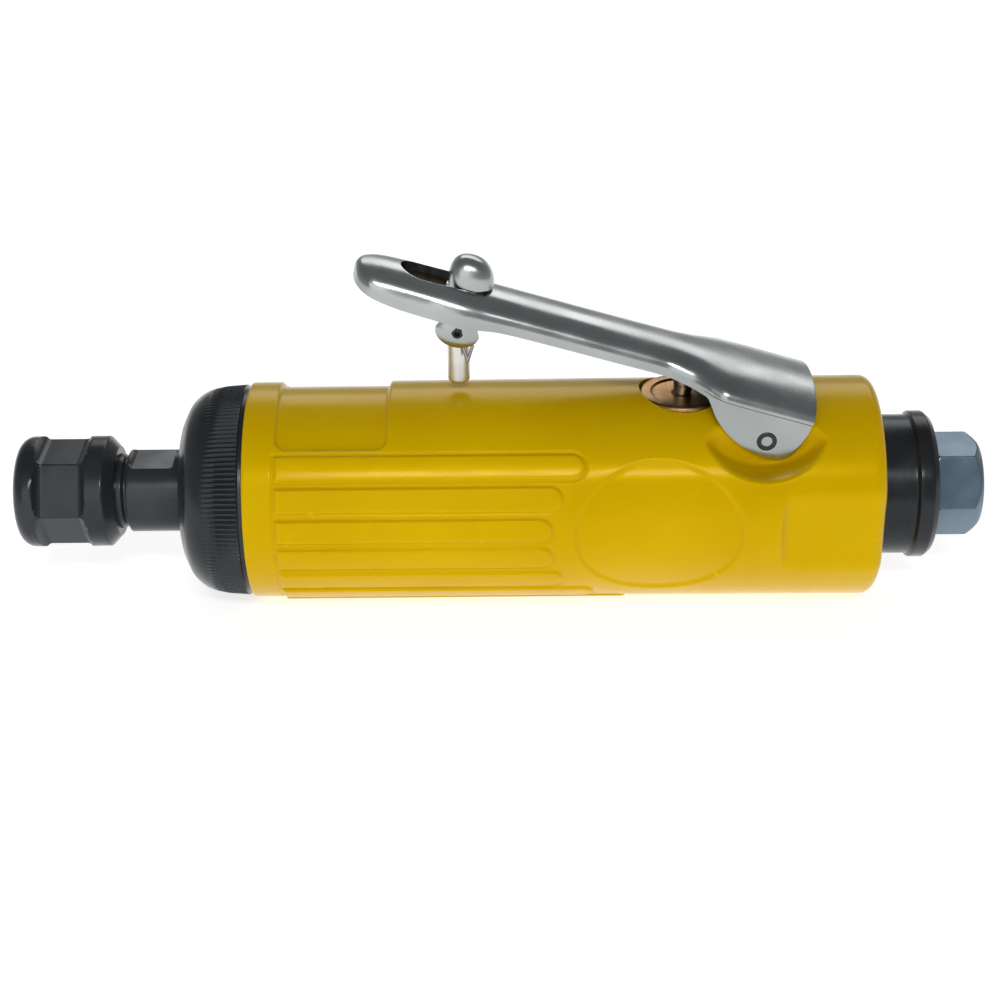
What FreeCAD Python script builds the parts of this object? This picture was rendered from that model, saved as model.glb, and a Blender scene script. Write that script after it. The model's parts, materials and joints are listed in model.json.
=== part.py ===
import FreeCAD, Part
import math
import os

import Sketcher
from FreeCAD import Placement, Rotation, Vector

# Straight air die grinder. Millimetres, origin on the spindle axis at the nose,
# +X towards the air inlet, +Z towards the lever.

os.makedirs("parts", exist_ok=True)
doc = FreeCAD.newDocument("DieGrinder")
sheet = doc.addObject("Spreadsheet::Sheet", "dims")

sizeTable = {
    # running and seating clearances
    "runGap": 0.05, "seatGap": 0.05, "faceGap": 0.06, "softGap": 0.3,
    # collet and its nut
    "shankRadius": 3.175, "colletLength": 22.0, "colletRadius": 5.2, "colletFrontDrop": 1.1,
    "colletShoulder": 6.0, "colletTaperDrop": 1.0, "colletSlotWidth": 0.8, "colletSlotEnd": 17.0,
    "nutLength": 17.6, "nutWall": 3.25, "nutCorner": 2.6, "nutHexStart": 5.0, "nutHexEnd": 11.5,
    "nutFlats": 16.2, "nutChamferLength": 1.8, "nutChamferDrop": 1.95, "nutThreadStart": 7.2,
    "hexTurn": 27.0,
    # spindle
    "spindleNose": 7.6, "spindleThreadWall": 1.5, "spindleShoulderGap": 1.9, "spindleStep": 0.74,
    "spindleFlatInset": 0.7, "spindleFlatLength": 7.4, "spindleFlatDepth": 1.14, "spindleOpen": 8.8,
    "shankHoleGap": 0.425, "shankHoleEnd": 40.0, "rotorStubRadius": 3.4, "rotorStubStart": 46.0,
    # clamp nut at the front of the housing
    "clampLength": 13.1, "clampFaceDrop": 0.5, "clampRound": 6.2, "clampFaceLength": 6.9,
    "clampGripStep": 0.4, "clampHoleGap": 1.06, "clampWeb": 7.7, "clampBore": 14.6,
    "clampThreadStep": 0.2, "clampThreadLength": 7.0, "dustSealThickness": 2.0,
    # housing
    "motorBore": 16.8, "housingWall": 2.3, "housingTaper": 0.4, "housingRearRound": 2.0,
    "housingFrontEdge": 0.4, "shaftPocketRadius": 6.0, "shaftPocketDepth": 2.2, "passageRadius": 4.0,
    "passageReach": 3.7, "inletBoreDepth": 12.0, "flatDepth": 1.3, "flatLength": 18.5,
    "scallopRadius": 12.3, "scallopInset": 0.2, "scallopRise": 2.0, "scallopFloor": 10.6,
    "labelInset": 5.6, "labelLength": 19.0, "labelAngle": 86.0, "labelDepth": 0.85,
    "ovalInset": 70.9, "ovalHalfLength": 14.3, "ovalHalfHeight": 12.3, "ovalDepth": 0.6,
    "barInset": 5.6, "barWidth": 4.4, "barHeight": 0.5, "barPitch": 16.5, "barTop": 37.0,
    "exhaustHoleRadius": 1.25, "airFeedRadius": 1.6,
    # motor
    "spacerThickness": 0.55, "frontPlateThickness": 10.0, "frontPlateWall": 1.05,
    "frontPlateHoleGap": 0.3, "linerLength": 38.4, "linerWall": 3.75, "linerOffset": 1.3,
    "linerPortRadius": 1.6, "rotorGap": 0.1, "rotorHubRadius": 6.9, "vaneThickness": 1.6,
    "vaneRoot": 4.15, "vaneTopGap": 0.25, "vaneSlotGap": 0.05, "dowelRadius": 0.9, "dowelEdge": 2.15,
    "dowelAngle": 65.0, "dowelDepth": 3.4, "rearPlateThickness": 8.8, "rearPlateWall": 1.55,
    "rearPlateHoleGap": 0.4, "rearHubRadius": 5.3, "gasketThickness": 0.5, "gasketWall": 5.25,
    # front bearing, then rear bearing
    "frontRaceWidth": 8.0, "frontSeatRadius": 6.0, "frontBallRadius": 2.38, "frontPocketRadius": 14.0,
    "frontCageWidth": 5.8, "rearRaceWidth": 7.0, "rearSeatRadius": 4.0, "rearBallRadius": 1.98,
    "rearPocketRadius": 11.0, "rearCageWidth": 4.8, "cageHalf": 0.6, "grooveGap": 0.06,
    "raceShare": 0.8,
    # throttle valve
    "valveInset": 10.5, "bushingRadius": 7.5, "bushingDrop": 0.9, "bushingHead": 6.4,
    "bushingWaist": 5.0, "bushingFoot": 6.0, "bushingFootHeight": 2.8,
    "bushingChamber": 2.9, "bushingGuide": 5.6, "stemRadius": 1.6, "stemTopGap": 0.08,
    "crossHoleRadius": 1.1, "ringGrooveDepth": 1.1, "ringGrooveInset": 0.9, "ringGrooveWidth": 1.1,
    "ringWire": 0.5, "chamberRadius": 4.5, "chamberFloor": -10.0, "poppetRadius": 3.8,
    "poppetThickness": 1.2, "valveSealThickness": 0.8, "springRadius": 2.7, "springWire": 0.35,
    "springPitch": 1.9, "springBossRadius": 1.9, "springBossLength": 1.4,
    # throttle lever
    "pivotReach": 13.5, "pivotDrop": 5.3, "pivotRear": 20.3, "pivotPinRadius": 1.75, "pinProud": 0.1,
    "leverSlope": 16.7, "leverTop": 9.47, "leverSheet": 1.4, "leverTip": 75.3, "leverRear": 6.4,
    "leverEdge": 5.35, "crownHalf": 7.0, "tipHalf": 6.3, "crownWall": 6.4, "tipWall": 6.6,
    "earHalf": 12.2, "earWall": 6.9, "earFront": 9.3, "flareFront": 20.0, "earDepth": 3.4,
    "lipDepth": 1.2, "lipRear": 46.0,
    # safety latch
    "latchReach": 52.4, "latchRise": 18.1, "latchPinRadius": 0.9, "latchBossRadius": 3.0,
    "latchBossGap": 0.5, "latchHalfWidth": 3.3, "propHalf": 1.9, "footHalf": 0.6, "footRise": 1.3,
    "latchGap": 1.5, "latchLugRadius": 3.9,
    "latchSpringRoom": 2.1, "latchSpringWire": 0.3, "latchSpringRadius": 1.55, "latchSpringPitch": 0.64,
    "latchSpringTurns": 2.0, "latchSpringEndGap": 0.1, "wireElbowStep": 0.01,
    "legUp": 2.6, "legKneeReach": 0.5, "legKneeDrop": 2.8, "legLowReach": 1.6, "legLowDrop": 6.4,
    "legEndReach": 2.5, "legEndDrop": 3.6,
    "tabFront": 1.5, "tabRear": 6.3, "tabBase": 6.9, "tabTop": 11.9, "tabRound": 2.4,
    "slotFront": 12.0, "slotRear": 3.2, "slotGap": 0.35,
    # exhaust deflector and air inlet
    "deflectorLength": 6.9, "deflectorLipLength": 3.4, "deflectorWall": 1.2, "deflectorLipStep": 0.66,
    "deflectorFloorInset": 0.4, "deflectorEdge": 0.9, "deflectorHoleRadius": 0.9, "deflectorHoleWall": 1.0,
    "deflectorDepth": 3.1, "collarStep": 0.5, "muffleGap": 0.5,
    "inletFlats": 16.0, "inletHexLength": 8.6, "inletHexRound": 0.14, "inletEdge": 1.8,
    "inletFrontEdge": 0.9, "inletShoulderGap": 0.1, "inletSpigotDepth": 10.0, "inletSpigotRadius": 7.6,
    "inletThreadRadius": 5.8, "inletThreadDepth": 12.0, "inletHole": 4.2, "inletSealWall": 2.6,
    "screenThickness": 0.5, "screenInset": 2.0, "screenHoleRadius": 0.42, "screenPitch": 1.3,
}


class Size:
    """A length that knows its value and its expression in the sheet."""

    def __init__(self, text, value):
        self.text = text
        self.value = value

    def __add__(self, other):
        other = sized(other)
        return Size(f"({self.text} + {other.text})", self.value + other.value)

    def __sub__(self, other):
        other = sized(other)
        return Size(f"({self.text} - {other.text})", self.value - other.value)

    def __mul__(self, other):
        other = sized(other)
        return Size(f"({self.text} * {other.text})", self.value * other.value)

    def __truediv__(self, other):
        other = sized(other)
        return Size(f"({self.text} / {other.text})", self.value / other.value)

    def __neg__(self):
        return Size(f"(0 - {self.text})", -self.value)


def sized(value):
    return value if isinstance(value, Size) else Size(repr(float(value)), float(value))


def cosine(angle):
    return Size(f"cos({angle.text})", math.cos(math.radians(angle.value)))


def sine(angle):
    return Size(f"sin({angle.text})", math.sin(math.radians(angle.value)))


def root(value):
    return Size(f"sqrt({value.text})", math.sqrt(value.value))


class Dims:
    pass


dim = Dims()
for row, (alias, value) in enumerate(sizeTable.items(), start=1):
    sheet.set(f"A{row}", alias)
    sheet.set(f"B{row}", str(value))
    sheet.setAlias(f"B{row}", alias)
    setattr(dim, alias, Size(f"dims.{alias}", value))
doc.recompute()

zero = Size("0", 0.0)
alongX = Rotation(Vector(0, 1, 0), 90)
alongY = Rotation(Vector(1, 0, 0), -90)
alongZ = Rotation()
turnAxis = {"x": alongX, "y": alongY, "z": alongZ}
subParts = []


def bind(thing, **sizes):
    for path, size in sizes.items():
        setattr(thing, path, sized(size).value)
        thing.setExpression(path, sized(size).text)
    return thing


def put(thing, x=zero, y=zero, z=zero, turn=None):
    spot = [sized(v) for v in (x, y, z)]
    thing.Placement = Placement(Vector(*[v.value for v in spot]), turn or Rotation())
    for name, size in zip("xyz", spot):
        thing.setExpression(f"Placement.Base.{name}", size.text)
    return thing


def rod(name, radius, length, x=zero, y=zero, z=zero, axis="x"):
    thing = bind(doc.addObject("Part::Cylinder", name), Radius=radius, Height=length)
    return put(thing, x, y, z, turnAxis[axis])


def block(name, length, width, height, x=zero, y=zero, z=zero):
    thing = bind(doc.addObject("Part::Box", name), Length=length, Width=width, Height=height)
    return put(thing, x, y, z)


def hexBar(name, flats, length, x):
    thing = doc.addObject("Part::Prism", name)
    thing.Polygon = 6
    bind(thing, Circumradius=flats / 2 / cosine(sized(30)), Height=length)
    # one flat faces the near side, tipped up by hexTurn
    turn = Rotation(Vector(1, 0, 0), -dim.hexTurn.value).multiply(alongX)
    return put(thing, x, turn=turn)


def fuse(name, pieces):
    thing = doc.addObject("Part::MultiFuse", name)
    thing.Shapes = pieces
    thing.Refine = True
    return thing


def group(name, pieces):
    thing = doc.addObject("Part::Compound", name)
    thing.Links = pieces
    return thing


def cut(name, base, tools):
    thing = doc.addObject("Part::Cut", name)
    thing.Base = base
    thing.Tool = tools[0] if len(tools) == 1 else group(name + "Tools", tools)
    thing.Refine = True
    return thing


def common(name, first, second):
    thing = doc.addObject("Part::Common", name)
    thing.Base = first
    thing.Tool = second
    return thing


def ringAround(count, name, make):
    """Copies of one tool, spread evenly round the spindle axis."""
    tools = []
    for index in range(count):
        holder = group(f"{name}{index}", [make(f"{name}Tool{index}")])
        holder.Placement = Placement(Vector(), Rotation(Vector(1, 0, 0), 360 * index / count))
        tools.append(holder)
    return tools


def originPlane(body, role):
    return next(feature for feature in body.Origin.OriginFeatures if feature.Role == role)


def outline(body, name, role, corners, shift=None):
    """A closed sketch of straight sides, each corner held by two bound distances."""
    sketch = body.newObject("Sketcher::SketchObject", name)
    sketch.AttachmentSupport = [(originPlane(body, role), "")]
    sketch.MapMode = "FlatFace"
    if shift is not None:
        sketch.AttachmentOffset = Placement(Vector(0, 0, shift.value), Rotation())
        sketch.setExpression("AttachmentOffset.Base.z", shift.text)
    spots = [(sized(a), sized(b)) for a, b in corners]
    count = len(spots)
    for index in range(count):
        start, end = spots[index], spots[(index + 1) % count]
        line = Part.LineSegment(Vector(start[0].value, start[1].value, 0),
                                Vector(end[0].value, end[1].value, 0))
        sketch.addGeometry(line, False)
    for index in range(count):
        sketch.addConstraint(Sketcher.Constraint("Coincident", index, 2, (index + 1) % count, 1))
    for index, spot in enumerate(spots):
        for kind, size in zip(("DistanceX", "DistanceY"), spot):
            if size is zero:
                line = -2 if kind == "DistanceX" else -1
                sketch.addConstraint(Sketcher.Constraint("PointOnObject", index, 1, line))
                continue
            number = sketch.addConstraint(Sketcher.Constraint(kind, -1, 1, index, 1, size.value))
            sketch.setExpression(f"Constraints[{number}]", size.text)
    return sketch


def turned(name, corners):
    """A body turned about the spindle axis from corners given as (x, radius)."""
    body = doc.addObject("PartDesign::Body", name)
    sketch = outline(body, name + "Profile", "XZ_Plane", corners)
    spin = body.newObject("PartDesign::Revolution", name + "Turn")
    spin.Profile = sketch
    spin.ReferenceAxis = (sketch, ["H_Axis"])
    spin.Angle = 360
    body.Tip = spin
    return body


def slab(name, role, corners, depth, offset=None):
    """A flat body padded evenly both ways from its plane."""
    body = doc.addObject("PartDesign::Body", name)
    sketch = outline(body, name + "Profile", role, corners, offset)
    pad = body.newObject("PartDesign::Pad", name + "Pad")
    pad.Profile = sketch
    pad.Midplane = offset is None
    bind(pad, Length=depth)
    body.Tip = pad
    return body


def roundEdges(body, radius, wanted):
    """Fillets the edges of the body's tip that the test picks out."""
    doc.recompute()
    base = body.Tip
    names = [f"Edge{i}" for i, edge in enumerate(base.Shape.Edges, start=1) if wanted(edge)]
    rounding = body.newObject("PartDesign::Fillet", body.Name + "Round" + str(len(body.Group)))
    rounding.Base = (base, names)
    bind(rounding, Radius=radius)
    body.Tip = rounding
    return body


def circleAt(x, radius):
    def test(edge):
        curve = edge.Curve
        if not isinstance(curve, Part.Circle):
            return False
        near = abs(curve.Center.x - x.value) + abs(curve.Radius - radius.value)
        return near < 0.001 and abs(curve.Center.z) < 0.001
    return test


def finish(thing, label):
    thing.Label = label
    subParts.append(thing)
    return thing


# ---- places that several pieces share, chained from the nose to the inlet
spindleThreadRadius = dim.colletRadius + dim.spindleThreadWall - 0.1
spindleRadius = spindleThreadRadius + dim.spindleStep
spindleShoulder = dim.nutLength + dim.spindleShoulderGap
clampFront = spindleShoulder + dim.spindleOpen
housingFront = clampFront + dim.clampLength
housingFrontRadius = dim.motorBore + dim.housingWall
housingRearRadius = housingFrontRadius + dim.housingTaper
clampRadius = housingFrontRadius - 0.1
clampThreadRadius = dim.motorBore + dim.clampThreadStep
plateRadius = dim.motorBore - dim.seatGap
spacerStart = housingFront + dim.clampThreadLength + dim.seatGap
frontPlateStart = spacerStart + dim.spacerThickness
linerStart = frontPlateStart + dim.frontPlateThickness
linerEnd = linerStart + dim.linerLength
rearPlateEnd = linerEnd + dim.rearPlateThickness
motorBayEnd = rearPlateEnd + dim.gasketThickness
frontRaceEnd = linerStart - dim.frontPlateWall
frontRaceStart = frontRaceEnd - dim.frontRaceWidth
rotorStart = linerStart + dim.faceGap
rotorEnd = linerEnd - dim.faceGap
rearRaceStart = linerEnd + dim.rearPlateWall
rearRaceEnd = rearRaceStart + dim.rearRaceWidth
linerBore = plateRadius - dim.linerWall
rotorRadius = linerBore - dim.linerOffset - dim.rotorGap
valveX = motorBayEnd + dim.valveInset
pivotX = valveX + dim.pivotReach
pivotZ = housingRearRadius - dim.pivotDrop
latchX = pivotX - dim.latchReach
latchZ = pivotZ + dim.latchRise
housingRear = pivotX + dim.pivotRear
inletBoreStart = housingRear - dim.inletBoreDepth
inletSpigotStart = housingRear - dim.inletSpigotDepth
deflectorLip = housingRear + dim.deflectorLength
deflectorRear = deflectorLip + dim.deflectorLipLength
inletHexStart = deflectorRear + dim.inletShoulderGap
inletRear = inletHexStart + dim.inletHexLength
collarRadius = dim.inletSpigotRadius + dim.collarStep

# ---- collet: a split double taper
colletEnd = dim.colletLength
colletRearRadius = dim.colletRadius - dim.colletTaperDrop
colletBody = turned("colletTurned", [
    (zero, dim.shankRadius), (zero, dim.colletRadius - dim.colletFrontDrop),
    (dim.colletShoulder, dim.colletRadius), (colletEnd, colletRearRadius),
    (colletEnd, dim.shankRadius)])


def colletSlot(name):
    return block(name, dim.colletSlotEnd + 1, dim.colletRadius + 1, dim.colletSlotWidth, sized(-1),
                 zero, -(dim.colletSlotWidth / 2))


collet = finish(cut("collet", colletBody, ringAround(3, "colletSlot", colletSlot)), "collet")

# ---- collet nut
nutMouth = dim.colletRadius - dim.colletFrontDrop + dim.runGap
nutRadius = spindleThreadRadius + dim.nutWall
nutChamferStart = dim.nutLength - dim.nutChamferLength
nutSeat = dim.colletRadius + dim.runGap
nutBody = turned("nutTurned", [
    (zero, nutMouth), (zero, nutRadius), (nutChamferStart, nutRadius),
    (dim.nutLength, nutRadius - dim.nutChamferDrop), (dim.nutLength, spindleThreadRadius + dim.runGap),
    (dim.nutThreadStart, spindleThreadRadius + dim.runGap), (dim.nutThreadStart, nutSeat),
    (dim.colletShoulder, nutSeat)])
roundEdges(nutBody, dim.nutCorner, circleAt(zero, nutRadius))
nutHexLength = dim.nutHexEnd - dim.nutHexStart
nutWaste = cut("nutWaste", rod("nutSleeve", nutRadius + 1, nutHexLength, dim.nutHexStart),
               [hexBar("nutHex", dim.nutFlats, nutHexLength, dim.nutHexStart)])
colletNut = finish(cut("colletNut", nutBody, [nutWaste]), "collet_nut")

# ---- spindle
taperRate = dim.colletTaperDrop / (colletEnd - dim.colletShoulder)
taperEnd = colletEnd + 1
noseTaperRadius = (dim.colletRadius + dim.runGap
                   - taperRate * (dim.spindleNose - dim.colletShoulder))
deepTaperRadius = dim.colletRadius + dim.runGap - taperRate * (taperEnd - dim.colletShoulder)
shankHoleRadius = dim.shankRadius + dim.shankHoleGap
spindleBody = turned("spindleTurned", [
    (dim.spindleNose, noseTaperRadius), (dim.spindleNose, spindleThreadRadius),
    (spindleShoulder, spindleThreadRadius), (spindleShoulder, spindleRadius),
    (frontRaceStart, spindleRadius), (frontRaceStart, dim.frontSeatRadius),
    (frontRaceEnd, dim.frontSeatRadius), (frontRaceEnd, dim.rotorStubRadius),
    (dim.rotorStubStart, dim.rotorStubRadius), (dim.rotorStubStart, zero),
    (dim.shankHoleEnd, zero), (dim.shankHoleEnd, shankHoleRadius),
    (taperEnd, shankHoleRadius), (taperEnd, deepTaperRadius)])
flatStart = spindleShoulder + dim.spindleFlatInset
flatHeight = spindleRadius - dim.spindleFlatDepth
flatTools = [
    block("spindleFlatUp", dim.spindleFlatLength, spindleRadius * 2, spindleRadius,
          flatStart, -spindleRadius, flatHeight),
    block("spindleFlatDown", dim.spindleFlatLength, spindleRadius * 2, spindleRadius,
          flatStart, -spindleRadius, -(flatHeight + spindleRadius))]
spindle = finish(cut("spindle", spindleBody, flatTools), "spindle")

# ---- clamp nut that holds the motor in, and its dust seal
clampHole = spindleRadius + dim.clampHoleGap
clampFaceRadius = clampRadius - dim.clampFaceDrop + 0.1
clampGripStart = clampFront + dim.clampFaceLength
clampWebEnd = clampFront + dim.clampWeb
clampBody = turned("clampNut", [
    (clampFront, clampHole), (clampFront, clampFaceRadius),
    (clampGripStart, clampFaceRadius), (clampGripStart + dim.clampGripStep, clampRadius),
    (housingFront, clampRadius), (housingFront, clampThreadRadius),
    (housingFront + dim.clampThreadLength, clampThreadRadius),
    (housingFront + dim.clampThreadLength, dim.clampBore), (clampWebEnd, dim.clampBore),
    (clampWebEnd, clampHole)])
roundEdges(clampBody, dim.clampRound, circleAt(clampFront, clampFaceRadius))
finish(clampBody, "clamp_nut")
finish(turned("dustSeal", [
    (clampWebEnd, spindleRadius + dim.runGap * 2), (clampWebEnd, dim.clampBore),
    (clampWebEnd + dim.dustSealThickness, dim.clampBore),
    (clampWebEnd + dim.dustSealThickness, spindleRadius + dim.runGap * 2)]), "front_dust_seal")

# ---- motor block
spacerHole = dim.frontPocketRadius - dim.spacerThickness * 4
finish(turned("spacer", [
    (spacerStart, spacerHole), (spacerStart, plateRadius), (frontPlateStart, plateRadius),
    (frontPlateStart, spacerHole)]), "spacer_ring")


def dowelTool(name, side):
    reach = plateRadius - dim.dowelEdge
    start = frontRaceEnd + dim.seatGap * 4
    return rod(name, dim.dowelRadius, linerEnd + dim.dowelDepth - start, start,
               reach * cosine(dim.dowelAngle) * side, reach * sine(dim.dowelAngle))


frontPlateHole = dim.rotorHubRadius + dim.frontPlateHoleGap
frontPlateBody = turned("frontPlateTurned", [
    (frontPlateStart, dim.frontPocketRadius), (frontPlateStart, plateRadius),
    (linerStart, plateRadius), (linerStart, frontPlateHole),
    (frontRaceEnd, frontPlateHole), (frontRaceEnd, dim.frontPocketRadius)])
finish(cut("frontPlate", frontPlateBody, [dowelTool("frontDowelA", 1), dowelTool("frontDowelB", -1)]),
       "front_end_plate")

linerBlank = rod("linerBlank", plateRadius, dim.linerLength, linerStart)
linerBore = rod("linerBore", linerBore, dim.linerLength, linerStart, zero, -dim.linerOffset)
portSpacing = dim.linerLength / 6
ports = [rod(f"linerPort{i}", dim.linerPortRadius, plateRadius, linerStart + portSpacing * (i + 1),
             zero, -plateRadius - 1, "z") for i in range(5)]
finish(cut("liner", linerBlank, [fuse("linerHollow", [linerBore] + ports),
                                 dowelTool("linerDowelA", 1), dowelTool("linerDowelB", -1)]),
       "motor_cylinder")
finish(group("dowels", [dowelTool("dowelA", 1), dowelTool("dowelB", -1)]), "cylinder_dowels")

rotorBody = turned("rotorTurned", [
    (dim.rotorStubStart, zero), (dim.rotorStubStart, dim.rotorStubRadius),
    (frontRaceEnd, dim.rotorStubRadius), (frontRaceEnd, dim.rotorHubRadius),
    (rotorStart, dim.rotorHubRadius), (rotorStart, rotorRadius), (rotorEnd, rotorRadius),
    (rotorEnd, dim.rearHubRadius), (rearRaceStart, dim.rearHubRadius),
    (rearRaceStart, dim.rearSeatRadius), (rearRaceEnd, dim.rearSeatRadius), (rearRaceEnd, zero)])
slotWidth = dim.vaneThickness + dim.vaneSlotGap * 2
slotRoot = dim.vaneRoot - dim.vaneSlotGap * 2


def rotorSlot(name):
    return block(name, rotorEnd - rotorStart, slotWidth, rotorRadius, rotorStart,
                 -(slotWidth / 2), slotRoot)


def vane(name):
    return block(name, rotorEnd - rotorStart - dim.vaneSlotGap * 2, dim.vaneThickness,
                 rotorRadius - dim.vaneTopGap - dim.vaneRoot,
                 rotorStart + dim.vaneSlotGap, -(dim.vaneThickness / 2), dim.vaneRoot)


finish(cut("rotor", rotorBody, ringAround(4, "rotorSlot", rotorSlot)), "rotor")
finish(group("vanes", ringAround(4, "vane", vane)), "rotor_vanes")

rearPlateHole = dim.rearHubRadius + dim.rearPlateHoleGap
rearPlateBody = turned("rearPlateTurned", [
    (linerEnd, rearPlateHole), (linerEnd, plateRadius), (rearPlateEnd, plateRadius),
    (rearPlateEnd, dim.rearPocketRadius), (rearRaceStart, dim.rearPocketRadius),
    (rearRaceStart, rearPlateHole)])
finish(cut("rearPlate", rearPlateBody, [dowelTool("rearDowelA", 1), dowelTool("rearDowelB", -1)]),
       "rear_end_plate")
gasketHole = plateRadius - dim.gasketWall
finish(turned("gasket", [
    (rearPlateEnd, gasketHole), (rearPlateEnd, plateRadius), (motorBayEnd, plateRadius),
    (motorBayEnd, gasketHole)]), "rear_gasket")


def bearing(end, start, width, seat, pocket, ball, cageWidth, count):
    """Two races, a cage and its balls; `end` names the end of the motor it sits at."""
    middle = start + width / 2
    pitch = (seat + pocket) / 2
    innerRadius = pitch - ball * dim.raceShare
    outerRadius = pitch + ball * dim.raceShare
    groove = doc.addObject("Part::Torus", end + "Groove")
    bind(groove, Radius1=pitch, Radius2=ball + dim.grooveGap)
    put(groove, middle, turn=alongX)
    inner = turned(end + "InnerTurned", [(start, seat), (start, innerRadius),
                                         (start + width, innerRadius), (start + width, seat)])
    outer = turned(end + "OuterTurned", [(start, outerRadius), (start, pocket),
                                         (start + width, pocket), (start + width, outerRadius)])
    finish(cut(end + "Inner", inner, [groove]), f"{end}_bearing_inner_race")
    finish(cut(end + "Outer", outer, [groove]), f"{end}_bearing_outer_race")

    def sphere(radius):
        def make(name):
            thing = bind(doc.addObject("Part::Sphere", name), Radius=radius)
            return put(thing, middle, zero, pitch)
        return make

    balls = group(end + "Balls", ringAround(count, end + "Ball", sphere(ball)))
    finish(balls, f"{end}_bearing_balls")
    cageStart = middle - cageWidth / 2
    cageRing = turned(end + "CageTurned", [
        (cageStart, pitch - dim.cageHalf), (cageStart, pitch + dim.cageHalf),
        (cageStart + cageWidth, pitch + dim.cageHalf), (cageStart + cageWidth, pitch - dim.cageHalf)])
    pockets = ringAround(count, end + "Pocket", sphere(ball + dim.grooveGap))
    finish(cut(end + "Cage", cageRing, pockets), f"{end}_bearing_cage")


bearing("front", frontRaceStart, dim.frontRaceWidth, dim.frontSeatRadius, dim.frontPocketRadius,
        dim.frontBallRadius, dim.frontCageWidth, 8)
bearing("rear", rearRaceStart, dim.rearRaceWidth, dim.rearSeatRadius, dim.rearPocketRadius,
        dim.rearBallRadius, dim.rearCageWidth, 7)

# ---- housing
shaftPocketEnd = motorBayEnd + dim.shaftPocketDepth
inletBoreRadius = dim.inletSpigotRadius + dim.seatGap
passageFront = valveX - dim.passageReach
barStart = housingFront + dim.barInset
barRadius = housingFrontRadius + dim.barHeight
labelStart = housingFront + dim.labelInset
ovalX = housingFront + dim.ovalInset
housingBody = turned("housingTurned", [
    (housingFront, clampThreadRadius + dim.seatGap),
    (housingFront, housingFrontRadius - dim.housingFrontEdge),
    (housingFront + dim.housingFrontEdge, housingFrontRadius),
    (housingRear, housingRearRadius), (housingRear, inletBoreRadius),
    (inletBoreStart, inletBoreRadius), (inletBoreStart, dim.passageRadius),
    (passageFront, dim.passageRadius), (passageFront, zero), (shaftPocketEnd, zero),
    (shaftPocketEnd, dim.shaftPocketRadius), (motorBayEnd, dim.shaftPocketRadius),
    (motorBayEnd, dim.motorBore), (spacerStart, dim.motorBore),
    (spacerStart, clampThreadRadius + dim.seatGap)])
roundEdges(housingBody, dim.housingRearRound, circleAt(housingRear, housingRearRadius))

barLimit = ovalX - dim.ovalHalfLength
barTools = []
barEnds = [2.2, -1.6, -3.4, -3.2, -1.4, 4.0, 10.0]
for index, extra in enumerate(barEnds):
    for side in (1, -1):
        name = f"bar{index}{'Near' if side == 1 else 'Far'}"
        length = barLimit + extra - barStart
        strip = block(name + "Strip", length, dim.barWidth, barRadius + 1, barStart,
                      -(dim.barWidth / 2), zero)
        strip.Placement = Placement(Vector(barStart.value, -dim.barWidth.value / 2, 0), Rotation())
        rounded = doc.addObject("Part::Fillet", name + "Rounded")
        doc.recompute()
        tip = [i for i, edge in enumerate(strip.Shape.Edges, start=1)
               if edge.BoundBox.ZLength > 1 and edge.BoundBox.XMin > barStart.value + 1]
        rounded.Base = strip
        rounded.Edges = [(i, dim.barWidth.value / 2.05, dim.barWidth.value / 2.05) for i in tip]
        holder = group(name, [rounded])
        # angles run from the top of the housing down either side
        turn = 90 - (dim.barTop.value - dim.barPitch.value * index)
        holder.Placement = Placement(Vector(), Rotation(Vector(1, 0, 0), turn * side))
        barTools.append(holder)
barTube = cut("barTube", rod("barSleeve", barRadius, housingRear - barStart, barStart),
              [rod("barCore", dim.motorBore + 1, housingRear - barStart, barStart)])
bars = common("gripBars", barTube, fuse("barStrips", barTools))

outside = barRadius + 2
labelTool = doc.addObject("Part::Cylinder", "labelSector")
bind(labelTool, Radius=outside, Height=dim.labelLength, Angle=dim.labelAngle)
labelTurn = Rotation(Vector(1, 0, 0), 180 - dim.labelAngle.value / 2).multiply(alongX)
put(labelTool, labelStart, turn=labelTurn)
labelCut = cut("labelCut", labelTool, [
    rod("labelFloor", housingFrontRadius - dim.labelDepth, dim.labelLength + 2,
        labelStart - 1)])

ovalTools = []
for side in (1, -1):
    name = "ovalNear" if side == 1 else "ovalFar"
    oval = bind(doc.addObject("Part::Ellipse", name), MajorRadius=dim.ovalHalfLength,
                MinorRadius=dim.ovalHalfHeight)
    put(oval, ovalX, turn=Rotation(Vector(1, 0, 0), 90))
    bar = doc.addObject("Part::Extrusion", name + "Bar")
    bar.Base = oval
    bar.DirMode = "Custom"
    bar.Dir = Vector(0, -side, 0)
    bar.Solid = True
    bind(bar, LengthFwd=outside)
    ovalTools.append(bar)
ovalCut = cut("ovalCut", fuse("ovalBars", ovalTools), [
    rod("ovalFloor", housingRearRadius - dim.ovalDepth, dim.ovalHalfLength * 2 + 2,
        ovalX - dim.ovalHalfLength - 1)])

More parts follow.
